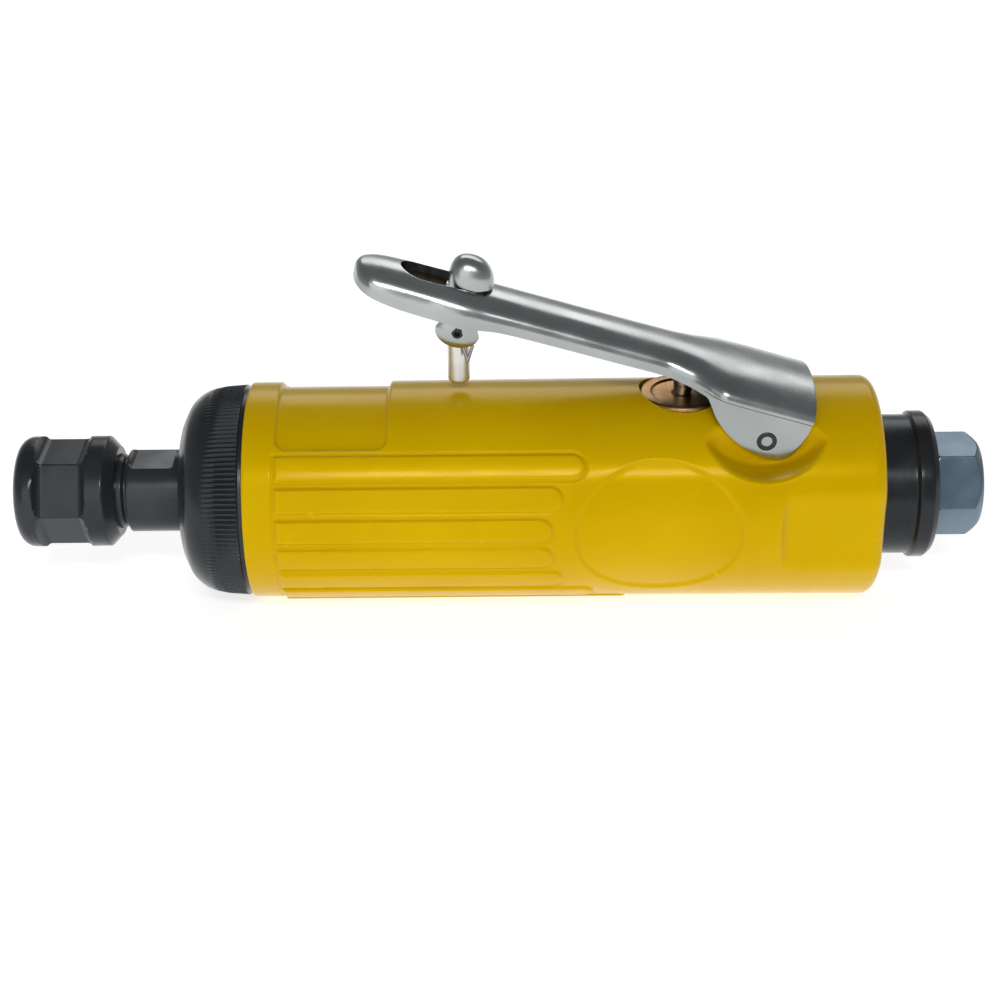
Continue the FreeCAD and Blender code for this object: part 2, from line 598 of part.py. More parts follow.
sideDepth = outside - dim.scallopFloor
flatInset = housingRearRadius - dim.flatDepth
flatCut = outside - flatInset
sideFlatStart = housingRear - dim.flatLength
scallopX = pivotX - dim.scallopInset
scallopZ = housingRearRadius + dim.scallopRise
bushingTop = housingRearRadius - dim.bushingDrop
bushingThread = bushingTop - dim.bushingHead
bushingFootTop = dim.bushingFoot + dim.bushingFootHeight
bushingChamberTop = bushingTop - dim.bushingGuide
airFeedZ = (bushingThread + bushingFootTop) / 2
housingCuts = [
    rod("valveBore", dim.bushingRadius + dim.seatGap, outside, valveX, zero, dim.bushingFoot, "z"),
    rod("valveChamber", dim.chamberRadius, dim.bushingFoot - dim.chamberFloor + 1, valveX, zero,
        dim.chamberFloor, "z"),
    rod("airFeed", dim.airFeedRadius, valveX - motorBayEnd, motorBayEnd, zero, airFeedZ),
    rod("pivotHole", dim.pivotPinRadius, outside * 2, pivotX, -outside, pivotZ, "y"),
    rod("scallopFar", dim.scallopRadius, sideDepth, scallopX, dim.scallopFloor, scallopZ, "y"),
    rod("scallopNear", dim.scallopRadius, sideDepth, scallopX, -outside, scallopZ, "y"),
    block("flatFar", dim.flatLength + 1, flatCut, outside * 2, sideFlatStart, flatInset, -outside),
    block("flatNear", dim.flatLength + 1, flatCut, outside * 2, sideFlatStart, -outside, -outside),
    labelCut, ovalCut]
exhaustReach = (collarRadius + collarRadius + dim.deflectorDepth) / 2
for index, angle in enumerate((-16, -45, -135, -164)):
    angle = sized(angle)
    housingCuts.append(rod(f"exhaustHole{index}", dim.exhaustHoleRadius,
                           housingRear - motorBayEnd + 1, motorBayEnd,
                           exhaustReach * cosine(angle), exhaustReach * sine(angle)))
ribbed = fuse("housingRibbed", [housingBody, bars])
housing = finish(cut("housing", ribbed, [fuse("housingCuts", housingCuts)]), "housing")

# ---- throttle valve
ringGrooveRadius = dim.bushingRadius - dim.ringGrooveDepth
ringGrooveStart = dim.bushingFoot + dim.ringGrooveInset
bushingBlank = fuse("bushingBlank", [
    rod("bushingHead", dim.bushingRadius, dim.bushingHead, valveX, zero, bushingThread, "z"),
    rod("bushingNeck", dim.bushingWaist, bushingThread - bushingFootTop, valveX, zero,
        bushingFootTop, "z"),
    rod("bushingBase", dim.bushingRadius, dim.bushingFootHeight, valveX, zero, dim.bushingFoot, "z")])
ringGroove = cut("ringGroove", rod("ringGrooveOut", dim.bushingRadius + 1, dim.ringGrooveWidth,
                                   valveX, zero, ringGrooveStart, "z"),
                 [rod("ringGrooveIn", ringGrooveRadius, dim.ringGrooveWidth, valveX, zero,
                      ringGrooveStart, "z")])
bushingCuts = [
    rod("bushingWell", dim.bushingChamber, bushingChamberTop - dim.bushingFoot, valveX, zero,
        dim.bushingFoot, "z"),
    rod("stemGuide", dim.stemRadius + dim.runGap, bushingTop, valveX, zero,
        bushingChamberTop - 1, "z"),
    rod("crossHoleX", dim.crossHoleRadius, dim.bushingRadius * 2, valveX - dim.bushingRadius, zero,
        airFeedZ),
    rod("crossHoleY", dim.crossHoleRadius, dim.bushingRadius * 2, valveX, -dim.bushingRadius,
        airFeedZ, "y"),
    ringGroove]
finish(cut("bushing", bushingBlank, [fuse("bushingCuts", bushingCuts)]), "valve_bushing")

sealRing = doc.addObject("Part::Torus", "bushingRing")
bind(sealRing, Radius1=ringGrooveRadius + dim.ringWire + dim.seatGap, Radius2=dim.ringWire)
put(sealRing, valveX, zero, ringGrooveStart + dim.ringGrooveWidth / 2)
finish(sealRing, "bushing_o_ring")

# the stem stands just short of the lever's underside, which slopes at leverSlope
slope = dim.leverSlope
underLever = (pivotZ + (dim.leverTop - dim.leverSheet) / cosine(slope)
              + (dim.pivotReach - dim.stemRadius) * sine(slope) / cosine(slope))
stemTop = underLever - dim.stemTopGap
sealTop = dim.bushingFoot - dim.seatGap
poppetTop = sealTop - dim.valveSealThickness
poppetBottom = poppetTop - dim.poppetThickness
bossBottom = poppetBottom - dim.springBossLength
finish(fuse("stem", [
    rod("stemRod", dim.stemRadius, stemTop - poppetBottom, valveX, zero, poppetBottom, "z"),
    rod("stemPoppet", dim.poppetRadius, dim.poppetThickness, valveX, zero, poppetBottom, "z"),
    rod("stemBoss", dim.springBossRadius, dim.springBossLength, valveX, zero, bossBottom, "z")]),
    "valve_stem")
finish(cut("valveSeal", rod("valveSealDisc", dim.poppetRadius, dim.valveSealThickness, valveX, zero,
                            poppetTop, "z"),
           [rod("valveSealHole", dim.stemRadius, dim.valveSealThickness, valveX, zero, poppetTop,
                "z")]), "valve_seal")

springBottom = dim.chamberFloor + dim.springWire + dim.seatGap
springTop = poppetBottom - dim.springWire - dim.seatGap
coil = doc.addObject("Part::Helix", "springCoil")
bind(coil, Pitch=dim.springPitch, Height=springTop - springBottom, Radius=dim.springRadius)
put(coil, valveX, zero, springBottom)
wire = bind(doc.addObject("Part::Circle", "springSection"), Radius=dim.springWire)
put(wire, valveX + dim.springRadius, zero, springBottom, alongY)
springSweep = doc.addObject("Part::Sweep", "springSweep")
springSweep.Sections = [wire]
doc.recompute()
springSweep.Spine = (coil, [f"Edge{i}" for i in range(1, len(coil.Shape.Edges) + 1)])
springSweep.Solid = True
springSweep.Frenet = True
finish(springSweep, "valve_spring")


# ---- throttle lever, drawn in its own frame: pivot at the origin, crown along local X
leverTurn = Rotation(Vector(0, 1, 0), slope.value)


def onLever(thing):
    return put(thing, pivotX, zero, pivotZ, leverTurn)


def arch(body, name, station, half, wallTop, crown, bottom):
    """One section of the channel: two upright walls under a faceted round crown."""
    corners = [(half, bottom)]
    for angle in archAngles:
        angle = sized(angle)
        rise = sine(angle) / sine(archShoulder)
        corners.append((half * cosine(angle), wallTop + (crown - wallTop) * rise))
    corners.append((-half, bottom))
    return outline(body, name, "YZ_Plane", corners, station)


archAngles = (0, 24, 48, 72, 108, 132, 156, 180)
archShoulder = sized(72)
# how far in from the tip, share of the half width there, how far the crown drops
tipShape = ((0, 0.4, 1.6), (0.7, 0.64, 0.9), (2.1, 0.85, 0.35), (5.0, 1.0, 0.0))


def archedShell(name, inset, bottom, rear):
    body = doc.addObject("PartDesign::Body", name)
    crown = dim.leverTop - inset
    stations = [(dim.leverTip - inset - far, dim.tipHalf * share - inset, dim.tipWall - inset, crown - drop)
                for far, share, drop in tipShape]
    stations += [
        (dim.flareFront, dim.crownHalf - inset, dim.crownWall - inset, crown),
        (dim.earFront, dim.earHalf - inset, dim.earWall - inset, crown),
        (-rear, dim.earHalf - inset, dim.earWall - inset, crown)]
    sketches = [arch(body, f"{name}Station{i}", -x, half, wall, top, bottom)
                for i, (x, half, wall, top) in enumerate(stations)]
    loft = body.newObject("PartDesign::AdditiveLoft", name + "Loft")
    loft.Profile = sketches[0]
    loft.Sections = [(sketch, [""]) for sketch in sketches[1:]]
    loft.Ruled = True
    body.Tip = loft
    return body


leverOuter = archedShell("leverOuter", zero, dim.leverEdge - dim.lipDepth, dim.leverRear)
leverInner = archedShell("leverInner", dim.leverSheet, dim.leverEdge - dim.lipDepth - 2, dim.leverRear + 1)
leverSkin = cut("leverSkin", leverOuter, [leverInner])
# behind the front lip the channel is shallower
trim = block("leverTrim", dim.lipRear + dim.leverRear + 1, dim.earHalf * 2 + 2, dim.lipDepth,
             -dim.lipRear, -dim.earHalf - 1, dim.leverEdge - dim.lipDepth)
earInner = dim.earHalf - dim.leverSheet
earOutline = [
    (-dim.earFront, dim.leverEdge - 1), (-dim.earFront, dim.earWall), (dim.leverRear, dim.earWall),
    (dim.leverRear, dim.leverEdge), (dim.leverRear - 0.9, sized(1.6)),
    (dim.leverRear - 3.0, -dim.earDepth + 0.8), (sized(0.4), -dim.earDepth),
    (-dim.pivotPinRadius - 1.4, -dim.earDepth + 1.4), (-dim.earFront + 3.0, sized(1.5))]
ears = cut("ears", slab("earSlab", "XZ_Plane", earOutline, dim.earHalf * 2),
           [block("earGap", dim.earFront + dim.leverRear + 4, earInner * 2, dim.leverTop * 3,
                  -dim.earFront - 2, -earInner, -dim.leverTop)])

lugX = -(dim.latchReach * cosine(slope) + dim.latchRise * sine(slope))
lugZ = dim.latchRise * cosine(slope) - dim.latchReach * sine(slope)
lugHalf = dim.crownHalf - 0.4
lugSolid = fuse("lugSolid", [
    rod("lugRound", dim.latchLugRadius, lugHalf * 2, lugX, -lugHalf, lugZ, "y"),
    block("lugUpper", dim.latchLugRadius * 2, lugHalf * 2, dim.leverEdge + 0.6 - lugZ,
          lugX - dim.latchLugRadius, -lugHalf, lugZ)])
lugs = cut("lugs", lugSolid, [
    block("lugGap", dim.latchLugRadius * 2 + 2, (lugHalf - dim.leverSheet) * 2, dim.leverTop * 2,
          lugX - dim.latchLugRadius - 1, -(lugHalf - dim.leverSheet), lugZ - dim.leverTop)])
tabSlotHalf = dim.latchHalfWidth + dim.slotGap
leverCuts = [
    rod("earHole", dim.pivotPinRadius + dim.runGap, dim.earHalf * 2 + 2, zero, -dim.earHalf - 1, zero, "y"),
    rod("lugHole", dim.latchPinRadius, dim.earHalf * 2, lugX, -dim.earHalf, lugZ, "y"),
    block("tabSlot", dim.slotFront + dim.slotRear, tabSlotHalf * 2, dim.leverTop,
          lugX - dim.slotFront, -tabSlotHalf, lugZ + dim.latchBossRadius - 0.5)]
skinTrimmed = cut("skinTrimmed", leverSkin, [trim])
lever = cut("lever", fuse("leverBlank", [skinTrimmed, ears, lugs]), leverCuts)
onLever(lever)
finish(lever, "throttle_lever")
finish(rod("pivotPin", dim.pivotPinRadius, (dim.earHalf + dim.pinProud) * 2, pivotX,
           -(dim.earHalf + dim.pinProud), pivotZ, "y"), "lever_pin")

# ---- safety latch: a thumb tab above the lever, a prop below it that meets the housing
coneRise = dim.housingTaper / (housingRear - housingFront)
propFoot = housingFrontRadius + coneRise * (latchX - housingFront) + dim.latchGap
prop = slab("prop", "XZ_Plane", [
    (latchX - dim.propHalf, propFoot + dim.footRise), (latchX - dim.footHalf, propFoot),
    (latchX + dim.footHalf, propFoot), (latchX + dim.propHalf, propFoot + dim.footRise),
    (latchX + dim.propHalf, latchZ), (latchX - dim.propHalf, latchZ)],
    dim.propHalf * 2)
tab = slab("tab", "XZ_Plane", [
    (latchX - dim.tabFront, latchZ + dim.tabBase),
    (latchX + dim.tabRear, latchZ + dim.tabBase - 0.6),
    (latchX + dim.tabRear, latchZ + dim.tabTop - 1.2),
    (latchX - dim.tabFront, latchZ + dim.tabTop)], dim.latchHalfWidth * 2)
roundEdges(tab, dim.tabRound, lambda edge: edge.BoundBox.ZMin > latchZ.value + dim.tabTop.value - 1.3)
neck = block("neck", dim.propHalf * 2, dim.propHalf * 2, dim.tabBase + 1, latchX - dim.tabFront,
             -dim.propHalf, latchZ)
bossFar = lugHalf - dim.leverSheet - dim.latchBossGap
bossNear = bossFar - dim.latchSpringRoom
boss = rod("latchBoss", dim.latchBossRadius, bossNear + bossFar, latchX, -bossNear, latchZ, "y")
latchHole = rod("latchHole", dim.latchPinRadius + dim.runGap, dim.earHalf * 2, latchX, -dim.earHalf,
                latchZ, "y")
finish(cut("latch", fuse("latchBlank", [prop, tab, neck, boss]), [latchHole]), "safety_latch")
finish(rod("latchPin", dim.latchPinRadius, (lugHalf + dim.pinProud) * 2, latchX,
           -(lugHalf + dim.pinProud), latchZ, "y"), "latch_pin")

# the latch's torsion spring: closed turns round the pin, one leg up, one bent leg down
def wireLeg(name, start, end):
    x, y, z = (b - a for a, b in zip(start, end))
    length = root(x * x + y * y + z * z)
    leg = bind(doc.addObject("Part::Cylinder", name), Radius=dim.latchSpringWire, Height=length)
    direction = Rotation(Vector(0, 0, 1), Vector(x.value, y.value, z.value))
    return put(leg, *start, direction)


def wireElbow(name, place):
    ball = bind(doc.addObject("Part::Sphere", name), Radius=dim.latchSpringWire + dim.wireElbowStep)
    return put(ball, *place)


coilLength = dim.latchSpringPitch * dim.latchSpringTurns
coilStart = -(bossNear + dim.latchSpringWire + dim.latchSpringEndGap + coilLength)
coilEnd = coilStart + coilLength
coilSide = latchX + dim.latchSpringRadius
latchCoil = doc.addObject("Part::Helix", "latchCoil")
bind(latchCoil, Pitch=dim.latchSpringPitch, Height=coilLength, Radius=dim.latchSpringRadius)
put(latchCoil, latchX, coilStart, latchZ, alongY)
latchWire = bind(doc.addObject("Part::Circle", "latchWire"), Radius=dim.latchSpringWire)
put(latchWire, coilSide, coilStart, latchZ)
latchSweep = doc.addObject("Part::Sweep", "latchSweep")
latchSweep.Sections = [latchWire]
doc.recompute()
latchSweep.Spine = (latchCoil, [f"Edge{i}" for i in range(1, len(latchCoil.Shape.Edges) + 1)])
latchSweep.Solid = True
latchSweep.Frenet = True
legTop = (coilSide, coilStart, latchZ + dim.legUp)
legRoute = [
    (coilSide, coilEnd, latchZ),
    (latchX + dim.legKneeReach, coilEnd, latchZ - dim.legKneeDrop),
    (latchX + dim.legLowReach, coilEnd, latchZ - dim.legLowDrop),
    (latchX + dim.legEndReach, coilEnd, latchZ - dim.legEndDrop)]
springParts = [latchSweep, wireElbow("coilStartBall", (coilSide, coilStart, latchZ)),
               wireLeg("legUpper", (coilSide, coilStart, latchZ), legTop)]
for index, (start, end) in enumerate(zip(legRoute, legRoute[1:])):
    springParts.append(wireElbow(f"legBall{index}", start))
    springParts.append(wireLeg(f"leg{index}", start, end))
finish(fuse("latchSpringWhole", springParts), "latch_spring")

# ---- exhaust deflector with its felt, turning on the inlet bushing's collar
deflectorFront = housingRear + dim.faceGap
deflectorHole = collarRadius + dim.runGap * 2
deflectorCavity = collarRadius + dim.deflectorDepth
deflectorRadius = deflectorCavity + dim.deflectorWall
deflectorLipRadius = deflectorRadius + dim.deflectorLipStep
deflectorFloor = deflectorLip + dim.deflectorFloorInset
muffleInner = collarRadius + dim.muffleGap
deflectorBody = turned("deflectorTurned", [
    (deflectorFront, deflectorCavity), (deflectorFront, deflectorRadius),
    (deflectorLip, deflectorRadius), (deflectorLip, deflectorLipRadius),
    (deflectorRear - dim.deflectorEdge, deflectorLipRadius),
    (deflectorRear, deflectorLipRadius - dim.deflectorEdge), (deflectorRear, deflectorHole),
    (deflectorFloor, deflectorHole), (deflectorFloor, deflectorCavity)])


def ventHole(name):
    return rod(name, dim.deflectorHoleRadius, deflectorRear - deflectorFloor + 2,
               deflectorFloor - 1, zero, deflectorCavity - dim.deflectorHoleWall)


finish(cut("deflector", deflectorBody, ringAround(12, "ventHole", ventHole)), "exhaust_deflector")
finish(turned("felt", [
    (deflectorFront + dim.softGap, muffleInner), (deflectorFront + dim.softGap, deflectorCavity),
    (deflectorFloor, deflectorCavity), (deflectorFloor, muffleInner)]), "muffler_felt")

inletCornerRadius = dim.inletFlats / 2 / cosine(sized(30)) + dim.inletHexRound
inletBlank = turned("inletTurned", [
    (inletSpigotStart, dim.inletHole), (inletSpigotStart, dim.inletSpigotRadius),
    (deflectorLip, dim.inletSpigotRadius), (deflectorLip, collarRadius),
    (inletHexStart, collarRadius), (inletHexStart, inletCornerRadius - dim.inletFrontEdge),
    (inletHexStart + dim.inletFrontEdge, inletCornerRadius),
    (inletRear - dim.inletEdge, inletCornerRadius),
    (inletRear, inletCornerRadius - dim.inletEdge), (inletRear, dim.inletThreadRadius),
    (inletRear - dim.inletThreadDepth, dim.inletThreadRadius),
    (inletRear - dim.inletThreadDepth, dim.inletHole)])
inletWaste = cut("inletWaste", rod("inletSleeve", inletCornerRadius + 1, dim.inletHexLength,
                                   inletHexStart),
                 [hexBar("inletHex", dim.inletFlats, dim.inletHexLength, inletHexStart)])
finish(cut("inlet", inletBlank, [inletWaste]), "inlet_bushing")
sealHole = dim.inletSpigotRadius - dim.inletSealWall
finish(turned("inletSeal", [
    (inletBoreStart, sealHole), (inletBoreStart, dim.inletSpigotRadius),
    (inletSpigotStart, dim.inletSpigotRadius), (inletSpigotStart, sealHole)]), "inlet_seal")
screenX = inletSpigotStart + dim.screenInset
screenHoles = [rod("screenHole", dim.screenHoleRadius, dim.screenThickness, screenX)]
for ringNumber, count in ((1, 6), (2, 12)):
    for index in range(count):
        angle = sized(360 * index / count)
        reach = dim.screenPitch * ringNumber
        screenHoles.append(rod(f"screenHole{ringNumber}of{index}", dim.screenHoleRadius,
                               dim.screenThickness, screenX, reach * cosine(angle), reach * sine(angle)))
finish(cut("screen", rod("screenDisc", dim.inletHole, dim.screenThickness, screenX), screenHoles),
       "inlet_screen")

# ---- check everything, then write the sub-parts
doc.recompute()
faults = []
for thing in doc.Objects:
    if {"Invalid", "Error"} & set(thing.State):
        faults.append(f"{thing.Name}: {thing.State}")
for thing in subParts:
    if thing.Shape.isNull() or not thing.Shape.isValid() or not thing.Shape.Solids:
        faults.append(f"{thing.Label}: bad shape")
if faults:
    raise RuntimeError("; ".join(faults))
for thing in subParts:
    thing.Shape.exportStep(f"parts/{thing.Label}.step")
    print(thing.Label, len(thing.Shape.Solids), round(thing.Shape.Volume, 2))
print(len(subParts), "sub-parts")
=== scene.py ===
import json
import math
import bmesh
import bpy
import numpy as np
from mathutils import Matrix, Vector


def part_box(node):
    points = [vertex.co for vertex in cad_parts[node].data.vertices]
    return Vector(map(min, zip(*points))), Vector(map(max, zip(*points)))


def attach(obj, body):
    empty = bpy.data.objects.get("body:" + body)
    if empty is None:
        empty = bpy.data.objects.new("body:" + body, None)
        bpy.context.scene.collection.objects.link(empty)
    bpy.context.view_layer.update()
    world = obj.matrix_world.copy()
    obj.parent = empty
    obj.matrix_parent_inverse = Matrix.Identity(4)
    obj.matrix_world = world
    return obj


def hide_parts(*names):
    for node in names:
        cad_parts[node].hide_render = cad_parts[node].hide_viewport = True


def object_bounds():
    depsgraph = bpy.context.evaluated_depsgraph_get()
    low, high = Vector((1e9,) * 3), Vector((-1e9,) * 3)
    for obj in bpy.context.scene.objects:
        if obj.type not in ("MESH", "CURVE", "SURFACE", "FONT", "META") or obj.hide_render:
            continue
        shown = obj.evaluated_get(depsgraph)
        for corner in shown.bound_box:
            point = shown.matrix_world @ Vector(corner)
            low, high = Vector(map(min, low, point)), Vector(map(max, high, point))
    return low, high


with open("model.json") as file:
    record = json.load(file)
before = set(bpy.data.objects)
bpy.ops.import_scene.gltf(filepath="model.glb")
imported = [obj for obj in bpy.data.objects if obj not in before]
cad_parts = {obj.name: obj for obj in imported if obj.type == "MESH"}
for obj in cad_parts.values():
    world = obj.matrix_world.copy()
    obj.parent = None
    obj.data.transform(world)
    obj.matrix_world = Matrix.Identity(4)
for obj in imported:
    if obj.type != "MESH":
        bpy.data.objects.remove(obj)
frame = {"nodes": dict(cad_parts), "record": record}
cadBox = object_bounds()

mm = 0.001
print("frame loaded")


# ---------- materials

def newMaterial(name):
    material = bpy.data.materials.new(name)
    material.use_nodes = True
    return material, material.node_tree, material.node_tree.nodes["Principled BSDF"]


def addNode(tree, kind, **settings):
    node = tree.nodes.new(kind)
    for key, value in settings.items():
        setattr(node, key, value)
    return node


def noiseAt(tree, scale, detail=3.0, stretch=(1, 1, 1), roughness=0.5):
    coords = addNode(tree, "ShaderNodeTexCoord")
    mapping = addNode(tree, "ShaderNodeMapping")
    mapping.inputs["Scale"].default_value = stretch
    noise = addNode(tree, "ShaderNodeTexNoise")
    noise.inputs["Scale"].default_value = scale
    noise.inputs["Detail"].default_value = detail
    noise.inputs["Roughness"].default_value = roughness
    tree.links.new(coords.outputs["Object"], mapping.inputs["Vector"])
    tree.links.new(mapping.outputs["Vector"], noise.inputs["Vector"])
    return noise


def ramp(tree, source, stops):
    node = addNode(tree, "ShaderNodeValToRGB")
    elements = node.color_ramp.elements
    while len(elements) < len(stops):
        elements.new(0.5)
    for element, (place, colour) in zip(elements, stops):
        element.position = place
        element.color = (*colour, 1) if len(colour) == 3 else colour
    tree.links.new(source, node.inputs["Fac"])
    return node


def bumpFrom(tree, shader, source, strength, distance):
    bump = addNode(tree, "ShaderNodeBump")
    bump.inputs["Strength"].default_value = strength
    bump.inputs["Distance"].default_value = distance
    tree.links.new(source, bump.inputs["Height"])
    tree.links.new(bump.outputs["Normal"], shader.inputs["Normal"])
    return bump


def shade(value):
    return (value, value, value)


# yellow enamel over a moulded shell: faint orange peel, soft blotches of tone, and a painted highlight of lighter
# yellow along the sharp convex edges
yellowLook = {"base": (0.655, 0.412, 0.0), "deep": (0.590, 0.362, 0.0), "paintedEdgeHighlight": (0.72, 0.48, 0.004),
              "blotchScale": 38.0, "edgeFrom": 0.52, "edgeTo": 0.60, "smearScale": 150.0, "roughest": 0.29,
              "smoothest": 0.20, "coat": 0.04, "coatRoughness": 0.05, "gloss": 0.30, "sheen": (1.0, 0.66, 0.02),
              "peelScale": 420.0, "peelStrength": 0.35, "peelDepth": 0.00003}


def makeYellowEnamel():
    material, tree, shader = newMaterial("yellowEnamel")
    blotch = noiseAt(tree, yellowLook["blotchScale"], 4.0)
    tone = ramp(tree, blotch.outputs["Fac"], [(0.32, yellowLook["deep"]), (0.68, yellowLook["base"])])
    # painted highlight: pointiness picks out the sharp convex edges, and a lighter yellow is mixed into the base
    # colour there
    geometry = addNode(tree, "ShaderNodeNewGeometry")
    edge = ramp(tree, geometry.outputs["Pointiness"],
                [(yellowLook["edgeFrom"], shade(0.0)), (yellowLook["edgeTo"], shade(1.0))])
    mix = addNode(tree, "ShaderNodeMix", data_type="RGBA")
    mix.inputs["B"].default_value = (*yellowLook["paintedEdgeHighlight"], 1)
    tree.links.new(edge.outputs["Color"], mix.inputs["Factor"])
    tree.links.new(tone.outputs["Color"], mix.inputs["A"])
    tree.links.new(mix.outputs["Result"], shader.inputs["Base Color"])
    gloss = ramp(tree, noiseAt(tree, yellowLook["smearScale"], 5.0).outputs["Fac"],
                 [(0.3, shade(yellowLook["smoothest"])), (0.75, shade(yellowLook["roughest"]))])
    tree.links.new(gloss.outputs["Color"], shader.inputs["Roughness"])
    shader.inputs["Specular IOR Level"].default_value = yellowLook["gloss"]
    shader.inputs["Specular Tint"].default_value = (*yellowLook["sheen"], 1)
    shader.inputs["Coat Weight"].default_value = yellowLook["coat"]
    shader.inputs["Coat Roughness"].default_value = yellowLook["coatRoughness"]
    bumpFrom(tree, shader, noiseAt(tree, yellowLook["peelScale"], 2.0).outputs["Fac"], yellowLook["peelStrength"],
             yellowLook["peelDepth"])
    return material


# black oxide on turned steel: fine lines round the axis, brighter where handled
oxideLook = {"metal": 0.5, "specular": 0.28, "handledScale": 60.0, "smearScale": 220.0, "smoothest": 0.19,
             "roughest": 0.33, "lineScale": 500.0, "lineStrength": 0.25, "lineDepth": 0.000012}


def makeBlackOxide(name, stretch, dark, light):
    look = oxideLook
    material, tree, shader = newMaterial(name)
    handled = noiseAt(tree, look["handledScale"], 6.0)
    tone = ramp(tree, handled.outputs["Fac"], [(0.30, dark), (0.72, light)])
    tree.links.new(tone.outputs["Color"], shader.inputs["Base Color"])
    shader.inputs["Metallic"].default_value = look["metal"]
    shader.inputs["Specular IOR Level"].default_value = look["specular"]
    gloss = ramp(tree, noiseAt(tree, look["smearScale"], 4.0).outputs["Fac"],
                 [(0.3, shade(look["smoothest"])), (0.8, shade(look["roughest"]))])
    tree.links.new(gloss.outputs["Color"], shader.inputs["Roughness"])
    lines = noiseAt(tree, look["lineScale"], 2.0, stretch)
    bumpFrom(tree, shader, lines.outputs["Fac"], look["lineStrength"], look["lineDepth"])
    return material


# bright plating over pressed sheet: mirror with faint ripples and fingerprints in the roughness
chromeLook = {"base": (0.325, 0.345, 0.340), "light": (0.430, 0.450, 0.445), "smudge": 0.34, "clean": 0.19,
              "toneScale": 45.0, "smudgeScale": 130.0, "rippleScale": 90.0, "rippleStrength": 0.12,
              "rippleDepth": 0.00006}


def makeChrome():
    material, tree, shader = newMaterial("chromePlate")
    tone = ramp(tree, noiseAt(tree, chromeLook["toneScale"], 3.0).outputs["Fac"],
                [(0.3, chromeLook["base"]), (0.7, chromeLook["light"])])
    tree.links.new(tone.outputs["Color"], shader.inputs["Base Color"])
    shader.inputs["Metallic"].default_value = 1.0
    smudge = ramp(tree, noiseAt(tree, chromeLook["smudgeScale"], 6.0).outputs["Fac"],
                  [(0.4, shade(chromeLook["clean"])), (0.8, shade(chromeLook["smudge"]))])
    tree.links.new(smudge.outputs["Color"], shader.inputs["Roughness"])
    bumpFrom(tree, shader, noiseAt(tree, chromeLook["rippleScale"], 2.0).outputs["Fac"],
             chromeLook["rippleStrength"], chromeLook["rippleDepth"])
    return material


# bare steel and brass: turned grain, uneven gloss
steelLook = {"toneScale": 120.0, "smearScale": 300.0, "smoothShare": 0.8, "roughShare": 1.3, "grainScale": 700.0,
             "grainStrength": 0.2, "grainDepth": 0.00001}


def makeSteel(name, dark, light, roughness, stretch=(6.0, 0.3, 0.3)):
    look = steelLook
    material, tree, shader = newMaterial(name)
    tone = ramp(tree, noiseAt(tree, look["toneScale"], 5.0, stretch).outputs["Fac"], [(0.3, dark), (0.7, light)])
    tree.links.new(tone.outputs["Color"], shader.inputs["Base Color"])
    shader.inputs["Metallic"].default_value = 1.0
    gloss = ramp(tree, noiseAt(tree, look["smearScale"], 4.0).outputs["Fac"],
                 [(0.3, shade(roughness * look["smoothShare"])), (0.8, shade(roughness * look["roughShare"]))])
    tree.links.new(gloss.outputs["Color"], shader.inputs["Roughness"])
    bumpFrom(tree, shader, noiseAt(tree, look["grainScale"], 2.0, stretch).outputs["Fac"], look["grainStrength"],
             look["grainDepth"])
    return material


# rubber, felt and polymer: matt, with a fine uneven surface
softLook = {"toneShare": 0.3, "bumpStrength": 0.5}


def makeSoft(name, dark, light, roughness, scale, depth):
    material, tree, shader = newMaterial(name)
    tone = ramp(tree, noiseAt(tree, scale * softLook["toneShare"], 5.0).outputs["Fac"], [(0.3, dark), (0.7, light)])
    tree.links.new(tone.outputs["Color"], shader.inputs["Base Color"])
    shader.inputs["Roughness"].default_value = roughness
    bumpFrom(tree, shader, noiseAt(tree, scale, 4.0).outputs["Fac"],
             softLook["bumpStrength"], depth)
    return material


yellowEnamel = makeYellowEnamel()
blackOxide = makeBlackOxide("blackOxide", (6.0, 0.25, 0.25), (0.018, 0.020, 0.022), (0.044, 0.050, 0.056))
chromePlate = makeChrome()
finishes = {
    "yellow_paint": yellowEnamel,
    "black_oxide": blackOxide,
    "chrome_plate": chromePlate,
    "spring_steel": makeSteel("springSteel", (0.20, 0.20, 0.21), (0.36, 0.36, 0.37), 0.25),
    "ground_steel": makeSteel("groundSteel", (0.42, 0.43, 0.44), (0.60, 0.61, 0.62), 0.24),
    "bushing_brass": makeSteel("bushingBrass", (0.30, 0.165, 0.062), (0.47, 0.275, 0.12), 0.38),
    "black_rubber": makeSoft("blackRubber", (0.012, 0.012, 0.013), (0.03, 0.03, 0.032), 0.75, 900, 0.00002),
    "vane_composite": makeSoft("vaneComposite", (0.10, 0.05, 0.025), (0.18, 0.10, 0.05), 0.6, 700, 0.00002),
    "cage_polymer": makeSoft("cagePolymer", (0.03, 0.025, 0.02), (0.06, 0.05, 0.04), 0.5, 500, 0.00001),
    "cast_iron": makeSteel("castIron", (0.10, 0.10, 0.10), (0.2, 0.2, 0.2), 0.5, (1, 1, 1)),
    "gasket_fibre": makeSoft("gasketFibre", (0.05, 0.07, 0.05), (0.1, 0.12, 0.09), 0.9, 1200, 0.00003),
    "felt": makeSoft("feltRing", (0.12, 0.12, 0.12), (0.25, 0.25, 0.25), 1.0, 1500, 0.00008),
}
satinPlate = makeSteel("satinPlate", (0.62, 0.62, 0.60), (0.78, 0.78, 0.76), 0.36)
bluedSteel = makeBlackOxide("bluedSteel", (6.0, 0.3, 0.3), (0.085, 0.130, 0.175), (0.17, 0.235, 0.29))
# painted shade: rough unpolished plate with its colour darkened to near black, standing in for the shadow inside the
# lever's channel and slot
leverInsidePaintedShade = makeSteel("unpolishedPlatePaintedShade", (0.035, 0.036, 0.038), (0.075, 0.077, 0.08), 0.45)
slotOf = {part["node"]: part["material_slot"] for part in frame["record"]["subparts"]}
